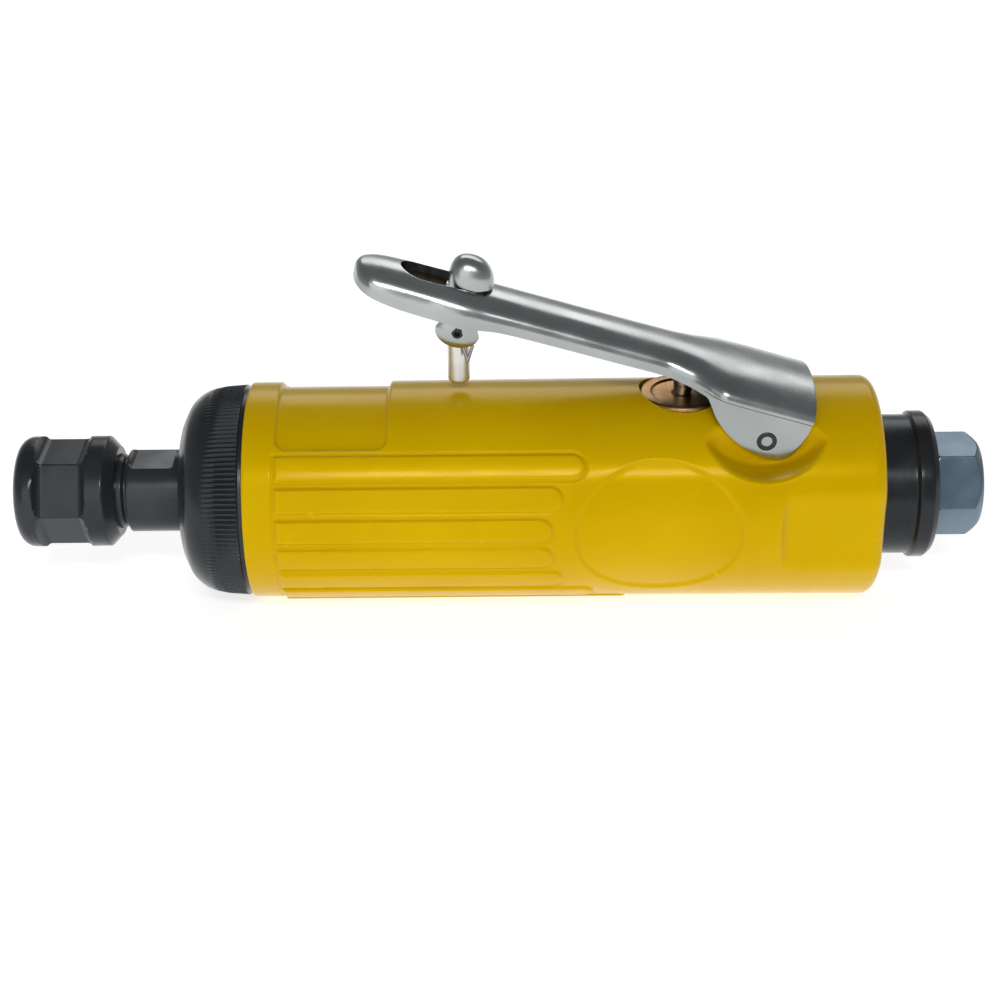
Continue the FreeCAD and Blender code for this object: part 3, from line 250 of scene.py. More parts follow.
for node, slotName in slotOf.items():
    piece = frame["nodes"][node]
    piece.data.materials.clear()
    piece.data.materials.append(finishes[slotName])
print("materials made for", len(slotOf), "nodes")


# ---------- shared mesh makers

def faceOutward(mesh):
    work = bmesh.new()
    work.from_mesh(mesh)
    bmesh.ops.remove_doubles(work, verts=work.verts, dist=0.0000005)
    bmesh.ops.recalc_face_normals(work, faces=work.faces)
    work.to_mesh(mesh)
    work.free()


def meshPiece(name, verts, faces, material, body, replaced=(), sharp=35):
    mesh = bpy.data.meshes.new(name)
    mesh.from_pydata([tuple(v) for v in verts], [], faces)
    faceOutward(mesh)
    mesh.shade_smooth()
    mesh.set_sharp_from_angle(angle=math.radians(sharp))
    mesh.materials.append(material)
    piece = bpy.data.objects.new(name, mesh)
    bpy.context.scene.collection.objects.link(piece)
    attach(piece, body)
    if replaced:
        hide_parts(*replaced)
    return piece


def applyModifiers(piece):
    graph = bpy.context.evaluated_depsgraph_get()
    baked = bpy.data.meshes.new_from_object(piece.evaluated_get(graph))
    piece.modifiers.clear()
    old = piece.data
    piece.data = baked
    bpy.data.meshes.remove(old)


def roundedLine(corners, stepAngle=9.0):
    # corners are (along, radius, fillet); each inner corner gets an arc of its fillet
    points = []
    for index, (a, r, fillet) in enumerate(corners):
        here = np.array((a, r), float)
        if fillet <= 0 or index in (0, len(corners) - 1):
            points.append(here)
            continue
        before = np.array(corners[index - 1][:2], float) - here
        after = np.array(corners[index + 1][:2], float) - here
        lengthBefore, lengthAfter = np.linalg.norm(before), np.linalg.norm(after)
        before, after = before / lengthBefore, after / lengthAfter
        half = math.acos(float(np.clip(np.dot(before, after), -1, 1))) / 2
        reach = min(fillet / math.tan(half), lengthBefore * 0.49, lengthAfter * 0.49)
        radius = reach * math.tan(half)
        bisector = (before + after) / np.linalg.norm(before + after)
        centre = here + bisector * radius / math.sin(half)
        start, end = here + before * reach - centre, here + after * reach - centre
        turn = math.atan2(start[0] * end[1] - start[1] * end[0], float(np.dot(start, end)))
        count = max(2, int(abs(math.degrees(turn)) / stepAngle))
        for i in range(count + 1):
            t = turn * i / count
            cs, sn = math.cos(t), math.sin(t)
            points.append(centre + np.array((start[0] * cs - start[1] * sn, start[0] * sn + start[1] * cs)))
    return np.array(points)


def denser(line, step):
    out = [line[0]]
    for a, b in zip(line[:-1], line[1:]):
        count = max(1, int(np.linalg.norm(b - a) / step + 0.5))
        for i in range(1, count + 1):
            out.append(a + (b - a) * i / count)
    return np.array(out)


def turnedGrid(line, segments, limit=None, closed=True, cross="x"):
    # line holds (along, radius) in mm, turned about x, or about z; limit may lower the radius by angle
    theta = np.linspace(0, 2 * math.pi, segments, endpoint=False)
    along = np.repeat(line[:, 0:1], segments, 1)
    radius = np.repeat(line[:, 1:2], segments, 1)
    angle = np.repeat(theta[None, :], len(line), 0)
    if limit is not None:
        radius = np.minimum(radius, limit(along, angle, radius))
    u, v = radius * np.cos(angle), radius * np.sin(angle)
    parts = (along, u, v) if cross == "x" else (u, v, along)
    verts = np.stack([p.ravel() for p in parts], 1) * mm
    rows = len(line)
    faces = []
    for i in range(rows if closed else rows - 1):
        low, high = i * segments, ((i + 1) % rows) * segments
        for j in range(segments):
            k = (j + 1) % segments
            faces.append((low + j, low + k, high + k, high + j))
    return verts, faces


def smoothMin(a, b, width):
    blend = np.clip(width - np.abs(a - b), 0, None) / width
    return np.minimum(a, b) - blend * blend * width / 4


def smoothMax(a, b, width):
    return -smoothMin(-a, -b, width)


def hexLimit(flats, turn, start, end, runOut):
    # distance from the axis to a hexagon, with flats that sweep up at their ends
    def limit(along, angle, radius):
        sector = math.radians(60)
        local = np.mod(angle - math.radians(180 - turn) + sector / 2, sector) - sector / 2
        hexRadius = flats / 2 / np.cos(local)
        before, after = np.clip(start - along, 0, None), np.clip(along - end, 0, None)
        rise = (before ** 2 + after ** 2) / runOut
        return hexRadius + rise
    return limit


def cadCorner(node):
    lo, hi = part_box(node)
    return [v / mm for v in lo], [v / mm for v in hi]


# ---------- housing
housingLo, housingHi = cadCorner("housing")
housingShape = {"frontRadius": 19.1, "rearRadius": 19.5, "frontRound": 0.45, "rearRound": 2.0,
                "barRadius": 19.6, "barWidth": 4.4, "barPitch": 16.5, "barTop": 37.0, "barInset": 5.6,
                "barBlend": 0.5, "barGrow": 0.15, "barEnds": (58.2, 54.4, 52.6, 52.8, 54.6, 60.0, 66.0),
                "grooveDepth": 0.22, "grooveOut": 0.25, "grooveHalf": 0.2,
                "labelInset": 5.6, "labelLength": 19.0, "labelHalfAngle": 43.0, "labelFloor": 18.25,
                "labelCorner": 2.2, "labelBlend": 0.55,
                "ovalInset": 70.9, "ovalHalf": (14.3, 12.3), "ovalFloor": 18.9, "ovalBlend": 0.6,
                "flatLength": 16.5, "flatReach": 18.2, "flatRunOut": 0.5, "flatBlend": 0.35,
                "scallopRadius": 12.3, "scallopInset": 0.2, "scallopRise": 2.0, "scallopFloor": 10.6,
                "scallopBlend": 1.1, "dishFlat": 7.2, "dishRise": 5.5, "dishBlend": 1.6,
                "skin": 3.2, "stock": 21.0, "spigot": 17.2, "spigotDepth": 7, "bore": 16.7, "boreStop": 43,
                "passage": 4.1, "passageStep": 36, "inletBore": 7.7, "inletDepth": 11,
                "holeGap": 0.12, "holeAbove": 15.0, "holeFloor": 12.0, "segments": 720, "step": 0.24}
bushingLo, bushingHi = cadCorner("valve_bushing")
pinLo, pinHi = cadCorner("lever_pin")
valveX = (bushingLo[0] + bushingHi[0]) / 2
pivotX, pivotZ = (pinLo[0] + pinHi[0]) / 2, (pinLo[2] + pinHi[2]) / 2
xFront, xRear = housingLo[0], housingHi[0]


def softStep(distance, width):
    # 1 inside a shape, 0 outside, rounded over the width
    t = np.clip(0.5 - distance / width, 0, 1)
    return t * t * (3 - 2 * t)


def housingLimit(along, angle, radius):
    shape = housingShape
    y, z = np.cos(angle), np.sin(angle)
    lift = np.degrees(np.arctan2(z, np.abs(y)))
    share = (along - xFront) / (xRear - xFront)
    base = shape["frontRadius"] + (shape["rearRadius"] - shape["frontRadius"]) * share
    surface = base.copy()
    # grip bars with a groove round each
    half = shape["barWidth"] / 2
    barStart = xFront + shape["barInset"]
    for index, reach in enumerate(shape["barEnds"]):
        across = np.radians(lift - (shape["barTop"] - shape["barPitch"] * index)) * shape["barRadius"]
        barEnd = xFront + reach
        tip = np.hypot(np.clip(along - (barEnd - half), 0, None), across) - half
        distance = np.maximum(np.maximum(np.abs(across) - half, barStart - along), tip)
        groove = np.abs(distance - shape["grooveOut"]) - shape["grooveHalf"]
        surface = surface - shape["grooveDepth"] * softStep(groove, shape["barBlend"])
        surface = surface + (shape["barRadius"] - base) * softStep(distance + shape["barGrow"], shape["barBlend"])
    # sunk label field over the top
    labelMiddle = xFront + shape["labelInset"] + shape["labelLength"] / 2
    acrossLabel = np.radians(np.abs(90 - lift) - shape["labelHalfAngle"]) * base
    cornerRound = shape["labelCorner"]
    dx = np.abs(along - labelMiddle) - shape["labelLength"] / 2 + cornerRound
    dy = acrossLabel + cornerRound
    distance = (np.hypot(np.clip(dx, 0, None), np.clip(dy, 0, None))
                + np.minimum(np.maximum(dx, dy), 0) - cornerRound)
    surface = surface + (shape["labelFloor"] - surface) * softStep(distance, shape["labelBlend"])
    # oval pad on each side
    ovalX = xFront + shape["ovalInset"]
    q = np.sqrt(((along - ovalX) / shape["ovalHalf"][0]) ** 2
                + (base * z / shape["ovalHalf"][1]) ** 2)
    surface = surface + (np.minimum(shape["ovalFloor"], surface) - surface) * softStep(
        (q - 1) * shape["ovalHalf"][1], shape["ovalBlend"])
    # spanner flat at the rear
    flatStart = xRear - shape["flatLength"]
    runOut = np.clip(flatStart - along, 0, None) ** 2 * shape["flatRunOut"]
    flat = shape["flatReach"] / np.clip(np.abs(y), 1e-3, None) + runOut
    surface = smoothMin(surface, flat, shape["flatBlend"])
    # scallop under each of the lever's ears
    scallopX, scallopZ = pivotX - shape["scallopInset"], shape["rearRadius"] + shape["scallopRise"]
    away = np.clip(shape["scallopRadius"] ** 2 - (along - scallopX) ** 2, 0, None)
    ledge = (scallopZ - np.sqrt(away)) / np.clip(z, 1e-3, None)
    fadeLength = shape["scallopRadius"] - shape["dishFlat"]
    fade = np.clip((np.abs(along - scallopX) - shape["dishFlat"]) / fadeLength, 0, 1)
    floor = (shape["scallopFloor"] + shape["dishRise"] * fade ** 2) / np.clip(np.abs(y), 1e-3, None)
    scallop = smoothMax(ledge, floor, shape["dishBlend"])
    scallop = np.where((away > 0) & (z > 0.02), scallop, 99.0)
    surface = smoothMin(surface, scallop, shape["scallopBlend"])
    # ends and inner walls keep the drawn radius
    return np.where(radius < surface - shape["skin"], radius, np.minimum(radius - shape["stock"], 0) + surface)


def makeHousing():
    shape = housingShape
    outer = roundedLine([(xFront, shape["spigot"], 0), (xFront, shape["stock"], shape["frontRound"]),
                         (xRear, shape["stock"], shape["rearRound"]), (xRear, shape["inletBore"], 0)])
    outer = denser(outer, shape["step"])
    inletEnd, boreEnd = xRear - shape["inletDepth"], xRear - shape["boreStop"]
    spigotEnd = xFront + shape["spigotDepth"]
    inner = np.array([(inletEnd, shape["inletBore"]), (inletEnd, shape["passage"]),
                      (xRear - shape["passageStep"], shape["passage"]), (boreEnd, shape["passage"]),
                      (boreEnd, shape["bore"]), (spigotEnd, shape["bore"]), (spigotEnd, shape["spigot"])])
    line = np.vstack([outer, inner])
    verts, faces = turnedGrid(line, shape["segments"], housingLimit)
    # the bushing's hole: faces inside it are left out and its edge is pulled round
    holeRadius = (bushingHi[0] - bushingLo[0]) / 2 + shape["holeGap"]
    flatXY = np.hypot(verts[:, 0] / mm - valveX, verts[:, 1] / mm)
    upper = verts[:, 2] / mm > shape["holeAbove"]
    inside = (flatXY < holeRadius) & upper
    kept = [f for f in faces if not any(inside[v] for v in f)]
    dropped = [f for f in faces if any(inside[v] for v in f)]
    rim = {v for f in dropped for v in f if not inside[v]}
    for v in rim:
        scale = holeRadius / flatXY[v]
        verts[v, 0] = (valveX + (verts[v, 0] / mm - valveX) * scale) * mm
        verts[v, 1] *= scale
    used = sorted({v for f in kept for v in f})
    renumber = {old: new for new, old in enumerate(used)}
    verts = verts[used]
    kept = [tuple(renumber[v] for v in f) for f in kept]
    piece = meshPiece("moulded_housing", verts, kept, yellowEnamel, "housing", ("housing",), 50)
    work = bmesh.new()
    work.from_mesh(piece.data)
    work.verts.ensure_lookup_table()
    edges = [e for e in work.edges if e.is_boundary
             and math.hypot(e.verts[0].co.x / mm - valveX, e.verts[0].co.y / mm) < holeRadius + 0.5]
    grown = bmesh.ops.extrude_edge_only(work, edges=edges)["geom"]
    for item in grown:
        if isinstance(item, bmesh.types.BMVert):
            item.co.z = shape["holeFloor"] * mm
    bmesh.ops.recalc_face_normals(work, faces=work.faces)
    work.to_mesh(piece.data)
    work.free()
    piece.data.shade_smooth()
    piece.data.set_sharp_from_angle(angle=math.radians(50))
    return piece


makeHousing()
print("housing made")

# ---------- clamp nut with its fine grip
clampLo, clampHi = cadCorner("clamp_nut")
clampShape = {"hole": 8.4, "holeDepth": 7.6, "holeRound": 0.5,
              "nose": ((1.2, 12.4, 4.5), (2.9, 15.9, 5.0), (5.3, 17.8, 6.0), (8.6, 18.5, 6.0)),
              "gripInset": 6.9, "gripLead": 0.3, "gripFade": 1.2, "gripAbove": 16.8, "teeth": 132, "toothDepth": 0.34,
              "rearRadius": 18.75, "rearLip": 0.9, "lipRadius": 18.4, "lipSlope": 0.25, "rearGap": 0.02,
              "bore": 17.0, "threadRadius": 14.7, "step": 1.2}


def makeClampNut():
    shape = clampShape
    front, rear = clampLo[0], xFront
    holeEnd, gripEnd, lipEnd = front + shape["holeDepth"], rear - shape["rearLip"], rear - shape["rearGap"]
    nose = [(front + along, radius, fillet) for along, radius, fillet in shape["nose"]]
    line = roundedLine([(holeEnd, shape["hole"], 0), (nose[0][0], shape["hole"], shape["holeRound"]), *nose,
                        (gripEnd, shape["rearRadius"], 0.2),
                        (gripEnd + shape["lipSlope"], shape["lipRadius"], 0.15),
                        (lipEnd, shape["lipRadius"], 0.1), (lipEnd, shape["bore"], 0),
                        (clampHi[0], shape["bore"], 0), (clampHi[0], shape["threadRadius"], 0),
                        (holeEnd, shape["threadRadius"], 0)], 6.0)
    line = denser(line, shape["step"])
    gripStart = front + shape["gripInset"] - shape["gripLead"]

    def grip(along, angle, radius):
        wave = 0.5 - 0.5 * np.cos(angle * shape["teeth"])
        ridged = (along < gripEnd) * (radius > shape["gripAbove"])
        fade = np.clip((along - gripStart) / shape["gripFade"], 0, 1) * ridged
        return radius - shape["toothDepth"] * fade * wave ** 1.4
    verts, faces = turnedGrid(line, shape["teeth"] * 8, grip)
    return meshPiece("knurled_clamp_nut", verts, faces, blackOxide, "housing", ("clamp_nut",), 40)


makeClampNut()
print("clamp nut made")

# ---------- collet nut
nutRear = cadCorner("collet_nut")[1][0]
nutShape = {"radius": 9.85, "flats": 16.2, "hexStart": 5.0, "hexEnd": 11.5, "turn": 27.0, "frontRound": 2.6,
            "runOut": 1.1, "mouth": 4.5, "mouthLip": 4.75, "taper": 5.28, "taperDepth": 6.0, "thread": 6.7,
            "threadDepth": 7.0, "rearStart": 15.8, "rearRadius": 7.9, "edgeBlend": 0.18, "hexAbove": 7.0,
            "segments": 288}


def makeColletNut():
    shape = nutShape
    line = roundedLine([(shape["threadDepth"], shape["thread"], 0), (shape["taperDepth"], shape["taper"], 0),
                        (0.35, shape["mouth"], 0), (0.0, shape["mouthLip"], 0.15),
                        (0.0, shape["radius"], shape["frontRound"]), (shape["rearStart"], shape["radius"], 0.5),
                        (nutRear, shape["rearRadius"], 0.25), (nutRear, shape["thread"], 0)], 6.0)
    line = denser(line, 0.3)
    hexed = hexLimit(shape["flats"], shape["turn"], shape["hexStart"], shape["hexEnd"], shape["runOut"])

    def limit(along, angle, radius):
        cut = smoothMin(radius, hexed(along, angle, radius), shape["edgeBlend"])
        return np.where(radius > shape["hexAbove"], cut, radius)
    verts, faces = turnedGrid(line, shape["segments"], limit)
    return meshPiece("hex_collet_nut", verts, faces, blackOxide, "collet_nut", ("collet_nut",), 30)


makeColletNut()

# ---------- spindle nose with spanner flats
spindleLo, spindleHi = cadCorner("spindle")
spindleShape = {"thread": 6.55, "relief": 6.1, "radius": 7.34, "rearRadius": 6.0, "shoulder": 19.5,
                "flatStart": 20.2, "flatEnd": 27.6, "flatReach": 6.2, "flatAbove": 6.9, "flatRamp": 6,
                "flatBlend": 0.1, "mouth": 5.17, "taper": 4.2, "taperDepth": 14.4, "bore": 3.7, "boreStart": 15.4,
                "boreEnd": 20, "rearBore": 3.45, "rearLength": 8.2, "segments": 192}


def makeSpindle():
    shape = spindleShape
    nose, rear, shoulder = spindleLo[0], spindleHi[0], shape["shoulder"]
    line = roundedLine([(nose + shape["boreStart"], shape["bore"], 0),
                        (nose + shape["taperDepth"], shape["taper"], 0),
                        (nose, shape["mouth"], 0), (nose, shape["thread"], 0.3),
                        (shoulder - 1.0, shape["thread"], 0.2), (shoulder - 0.5, shape["relief"], 0.15),
                        (shoulder, shape["relief"], 0.1), (shoulder, shape["radius"], 0.3),
                        (rear - shape["rearLength"], shape["radius"], 0.2),
                        (rear - shape["rearLength"], shape["rearRadius"], 0), (rear, shape["rearRadius"], 0.2),
                        (rear, shape["rearBore"], 0), (nose + shape["boreEnd"], shape["bore"], 0)], 8.0)
    line = denser(line, 0.35)

    def limit(along, angle, radius):
        flat = shape["flatReach"] / np.clip(np.abs(np.sin(angle)), 1e-3, None)
        away = np.clip(shape["flatStart"] - along, 0, None) + np.clip(along - shape["flatEnd"], 0, None)
        cut = smoothMin(radius, flat + away * shape["flatRamp"], shape["flatBlend"])
        return np.where(radius > shape["flatAbove"], cut, radius)
    verts, faces = turnedGrid(line, shape["segments"], limit)
    return meshPiece("spindle_nose", verts, faces, blackOxide, "rotor", ("spindle",), 30)


makeSpindle()
print("nose made")

# ---------- air inlet and exhaust deflector
inletLo, inletHi = cadCorner("inlet_bushing")
deflectorLo, deflectorHi = cadCorner("exhaust_deflector")
inletShape = {"corner": 9.38, "flats": 16.0, "turn": 27.0, "runOut": 50.0, "cornerSlope": 1.8, "face": 7.55,
              "bevel": 6.65, "bevelDepth": 0.8, "bore": 5.85, "boreDepth": 12, "passage": 4.25, "neck": 8.08,
              "neckLength": 3.4, "spigot": 7.58, "frontGap": 0.1, "frontSlope": 0.9, "frontRadius": 8.5,
              "edgeBlend": 0.25, "hexAbove": 7.0, "segments": 288}


def makeInlet():
    shape = inletShape
    hexStart, neckStart = deflectorHi[0] + shape["frontGap"], deflectorHi[0] - shape["neckLength"]
    rear = inletHi[0]
    boreEnd = rear - shape["boreDepth"]
    line = roundedLine([(boreEnd, shape["passage"], 0), (boreEnd, shape["bore"], 0),
                        (rear - shape["bevelDepth"], shape["bore"], 0.1), (rear, shape["bevel"], 0.1),
                        (rear, shape["face"], 0.3), (rear - shape["cornerSlope"], shape["corner"], 0.8),
                        (hexStart + shape["frontSlope"], shape["corner"], 0.4),
                        (hexStart, shape["frontRadius"], 0.1), (hexStart, shape["neck"], 0),
                        (neckStart, shape["neck"], 0), (neckStart, shape["spigot"], 0),
                        (inletLo[0], shape["spigot"], 0), (inletLo[0], shape["passage"], 0)], 8.0)
    line = denser(line, 0.3)
    hexed = hexLimit(shape["flats"], shape["turn"], hexStart, rear, shape["runOut"])

    def limit(along, angle, radius):
        shown = (radius > shape["hexAbove"]) & (along > hexStart - 0.01)
        return np.where(shown, smoothMin(radius, hexed(along, angle, radius), shape["edgeBlend"]), radius)
    verts, faces = turnedGrid(line, shape["segments"], limit)
    return meshPiece("hex_inlet", verts, faces, bluedSteel, "housing", ("inlet_bushing",), 30)


makeInlet()

deflectorShape = {"radius": 12.4, "frontHole": 11.3, "lip": 13.05, "lipLength": 3.4, "lipSlope": 0.55,
                  "lipEnd": 1.1, "face": 12.1, "faceRings": (11.35, 10.2, 9.05), "hole": 8.25, "wall": 0.4,
                  "vents": 12, "ventRadius": 0.9, "ventRing": 10.2, "ventInset": 1.5, "ventLength": 6,
                  "segments": 288}


def makeDeflector():
    shape = deflectorShape
    front, rear = deflectorLo[0], deflectorHi[0]
    lipStart = rear - shape["lipLength"]
    inner = lipStart + shape["wall"]
    line = roundedLine([(front, shape["frontHole"], 0), (front, shape["radius"], 0.2),
                        (lipStart - shape["lipSlope"], shape["radius"], 0.3), (lipStart, shape["lip"], 0.35),
                        (rear - shape["lipEnd"], shape["lip"], 0.7), (rear, shape["face"], 0.5),
                        *[(rear, ring, 0) for ring in shape["faceRings"]], (rear, shape["hole"], 0.1),
                        (inner, shape["hole"], 0), (inner, shape["frontHole"], 0)], 8.0)
    line = denser(line, 0.6)
    verts, faces = turnedGrid(line, shape["segments"])
    piece = meshPiece("deflector_ring", verts, faces, blackOxide, "deflector", ("exhaust_deflector",),
                      35)
    # the vents are cut through the rear wall
    tools = bmesh.new()
    for index in range(shape["vents"]):
        angle = 2 * math.pi * index / shape["vents"] + math.pi / 2
        place = Matrix.Translation(((rear - shape["ventInset"]) * mm, shape["ventRing"] * math.cos(angle) * mm,
                                    shape["ventRing"] * math.sin(angle) * mm))
        bmesh.ops.create_cone(tools, cap_ends=True, segments=24, radius1=shape["ventRadius"] * mm,
                              radius2=shape["ventRadius"] * mm, depth=shape["ventLength"] * mm,
                              matrix=place @ Matrix.Rotation(math.radians(90), 4, "Y"))
    toolMesh = bpy.data.meshes.new("ventTools")
    tools.to_mesh(toolMesh)
    tools.free()
    tool = bpy.data.objects.new("ventTools", toolMesh)
    bpy.context.scene.collection.objects.link(tool)
    cutter = piece.modifiers.new("vents", "BOOLEAN")
    cutter.object = tool
    cutter.operation = "DIFFERENCE"
    cutter.solver = "EXACT"
    applyModifiers(piece)
    bpy.data.objects.remove(tool)
    piece.data.set_sharp_from_angle(angle=math.radians(35))
    return piece


makeDeflector()
print("rear end made")

# ---------- throttle lever, in its own frame: pivot at the origin, crown along x
# stations are (place, half width, top of the wall, crown) and edge is (place, lower rim), from the tip
leverShape = {"slope": 16.7, "tip": 75.3, "length": 81.7, "tipGap": 0.6, "fineEnd": 2.8, "step": 0.45,
              "sheet": 1.4, "rimRound": 0.4, "rimAngle": 50, "joggle": 0.45, "roundness": 0.87, "earRoundness": 0.11,
              "archPower": 0.9, "wallGap": 0.3, "leastWall": 0.9, "wallRows": 9, "archRows": 36,
              "stations": ((0.6, 0.8, 6.9, 7.6), (0.85, 2.3, 6.6, 8.0), (1.4, 3.8, 6.2, 8.45),
                           (2.4, 5.0, 5.85, 8.8), (3.8, 5.85, 5.6, 9.1), (6.5, 6.35, 5.3, 9.35),
                           (11.0, 6.5, 5.1, 9.47), (14.0, 6.6, 5.1, 9.47), (17.0, 6.85, 5.1, 9.47),
                           (20.0, 7.0, 5.1, 9.47), (23.5, 6.85, 5.2, 9.47), (30.0, 6.8, 5.5, 9.47),
                           (48.0, 6.95, 5.7, 9.47), (55.3, 7.1, 5.8, 9.47), (60.0, 8.4, 5.6, 9.47),
                           (64.0, 10.9, 5.2, 9.47), (66.2, 11.95, 5.1, 9.47), (72.0, 12.2, 5.1, 9.47),
                           (81.7, 12.2, 5.1, 9.47)),
              "edge": ((0.0, 6.2), (0.4, 5.8), (1.2, 5.3), (2.6, 4.75), (4.5, 4.3), (7.0, 3.95), (10.0, 3.7),
                       (14.0, 3.6), (21.0, 3.7), (26.0, 4.4), (30.0, 4.8), (36.0, 5.0), (58.0, 5.0),
                       (61.5, 4.9), (63.2, 4.4), (64.2, 3.4), (65.4, 1.9), (67.2, 0.3), (69.6, -1.2),
                       (72.4, -2.3), (75.5, -2.8), (78.3, -2.6), (80.0, -1.5), (80.9, 0.3), (81.5, 2.4),
                       (81.7, 4.2))}


def leverToWorld(points):
    slope = math.radians(leverShape["slope"])
    x, y, z = points[:, 0], points[:, 1], points[:, 2]
    cs, sn = math.cos(slope), math.sin(slope)
    return np.stack([pivotX + x * cs + z * sn, y, pivotZ - x * sn + z * cs], 1) * mm


def easeBetween(table, places):
    # smooth passage through a table's values, without overshoot
    table = np.array(table, float)
    xs, out = table[:, 0], []
    for column in range(1, table.shape[1]):
        ys = table[:, column]
        slopes = np.diff(ys) / np.diff(xs)
        tangent = np.zeros(len(xs))
        for i in range(1, len(xs) - 1):
            a, b = slopes[i - 1], slopes[i]
            tangent[i] = 0 if a * b <= 0 else 2 * a * b / (a + b)
        tangent[0], tangent[-1] = slopes[0], slopes[-1]
        index = np.clip(np.searchsorted(xs, places, "right") - 1, 0, len(xs) - 2)
        width = xs[index + 1] - xs[index]
        t = (places - xs[index]) / width
        out.append(ys[index] * (2 * t**3 - 3 * t**2 + 1) + tangent[index] * width * (t**3 - 2 * t**2 + t)
                   + ys[index + 1] * (-2 * t**3 + 3 * t**2) + tangent[index + 1] * width * (t**3 - t**2))
    return out


latchPinLo, latchPinHi = cadCorner("latch_pin")
latchX, latchZ = (latchPinLo[0] + latchPinHi[0]) / 2, (latchPinLo[2] + latchPinHi[2]) / 2
slopeAngle = math.radians(leverShape["slope"])
lugX = (latchX - pivotX) * math.cos(slopeAngle) - (latchZ - pivotZ) * math.sin(slopeAngle)
lugZ = (latchX - pivotX) * math.sin(slopeAngle) + (latchZ - pivotZ) * math.cos(slopeAngle)
slotShape = {"front": 12.0, "rear": 3.0, "half": 3.6, "noseLength": 4.0, "noseSteps": 24, "low": 7.5, "high": 14.0}


def makeLever():
    shape = leverShape
    places = np.concatenate([np.linspace(shape["tipGap"], shape["fineEnd"], 12, endpoint=False),
                             np.arange(shape["fineEnd"], shape["length"], shape["step"]), [shape["length"]]])
    half, wallTop, crown = easeBetween(shape["stations"], places)
    edge = np.minimum(easeBetween(shape["edge"], places)[0], wallTop - shape["leastWall"])
    wallRows, archRows = shape["wallRows"], shape["archRows"]
    rows = []
    for k, place in enumerate(places):
        x = place - shape["tip"]
        joggle = shape["joggle"] * float(np.clip((half[k] - 8.5) / 3.0, 0, 1))
        power = shape["roundness"] + shape["earRoundness"] * float(np.clip((half[k] - 8) / 4, 0, 1))
        wall = [edge[k] + (wallTop[k] - shape["wallGap"] - edge[k]) * i / (wallRows - 1) for i in range(wallRows)]
        section = [(half[k] - joggle, z) for z in wall]
        for i in range(archRows + 1):
            t = math.pi * i / archRows
            cs, sn = math.cos(t), math.sin(t)
            section.append((half[k] * math.copysign(abs(cs) ** power, cs),
                            wallTop[k] + (crown[k] - wallTop[k]) * abs(sn) ** shape["archPower"]))
        section += [(joggle - half[k], z) for z in reversed(wall)]
        rows.append([(x, y, z) for y, z in section])
    points = np.array(rows)
    across = points.shape[1]
    flat = points.reshape(-1, 3)
    faces = []
    for i in range(len(places) - 1):
        for j in range(across - 1):
            faces.append((i * across + j, (i + 1) * across + j, (i + 1) * across + j + 1, i * across + j + 1))
    piece = meshPiece("pressed_lever", leverToWorld(flat), faces, chromePlate, "lever", ("throttle_lever",),
                      60)
    piece.data.materials.append(leverInsidePaintedShade)
    solid = piece.modifiers.new("sheet", "SOLIDIFY")
    solid.thickness = shape["sheet"] * mm
    solid.offset = -1
    # the inner shell takes the second material, the near-black painted shade
    solid.material_offset = 1
    solid.use_even_offset = True
    solid.use_quality_normals = True
    applyModifiers(piece)
    # the tab's slot is punched through the crown, round at its front
    slot = slotShape
    low, high = lugX - slot["front"], lugX + slot["rear"]
    outline = [(high, -slot["half"]), (high, slot["half"])]
    for i in range(slot["noseSteps"] + 1):
        angle = math.pi / 2 + math.pi * i / slot["noseSteps"]
        outline.append((low + slot["noseLength"] * (1 + math.cos(angle)), slot["half"] * math.sin(angle)))
    count = len(outline)
    punch = [(x, y, z) for z in (slot["low"], slot["high"]) for x, y in outline]
    sides = [(i, (i + 1) % count, count + (i + 1) % count, count + i) for i in range(count)]
    sides += [tuple(range(count - 1, -1, -1)), tuple(range(count, 2 * count))]
    tool = meshPiece("slot_punch", leverToWorld(np.array(punch)), sides, leverInsidePaintedShade, "lever", (),
                     30)
    cut = piece.modifiers.new("slot", "BOOLEAN")
    cut.operation, cut.solver, cut.object = "DIFFERENCE", "EXACT", tool
    rim = piece.modifiers.new("rim", "BEVEL")
    rim.width = shape["rimRound"] * mm
    rim.segments = 3
    rim.limit_method = "ANGLE"
    rim.angle_limit = math.radians(shape["rimAngle"])
    applyModifiers(piece)
    bpy.data.objects.remove(tool, do_unlink=True)
    piece.data.shade_smooth()
    piece.data.set_sharp_from_angle(angle=math.radians(shape["rimAngle"]))
    return piece


makeLever()
print("lever made")


# ---------- lugs that carry the latch's pin
lugShape = {"radius": 3.8, "squash": 0.74, "height": 3.6, "rim": 5.75, "crown": 6.6, "domePower": 2.2,
            "inner": 5.2, "rings": (1.0, 0.97, 0.86, 0.7, 0.5, 0.36, 0.26), "lowSteps": 40, "topSteps": 20}


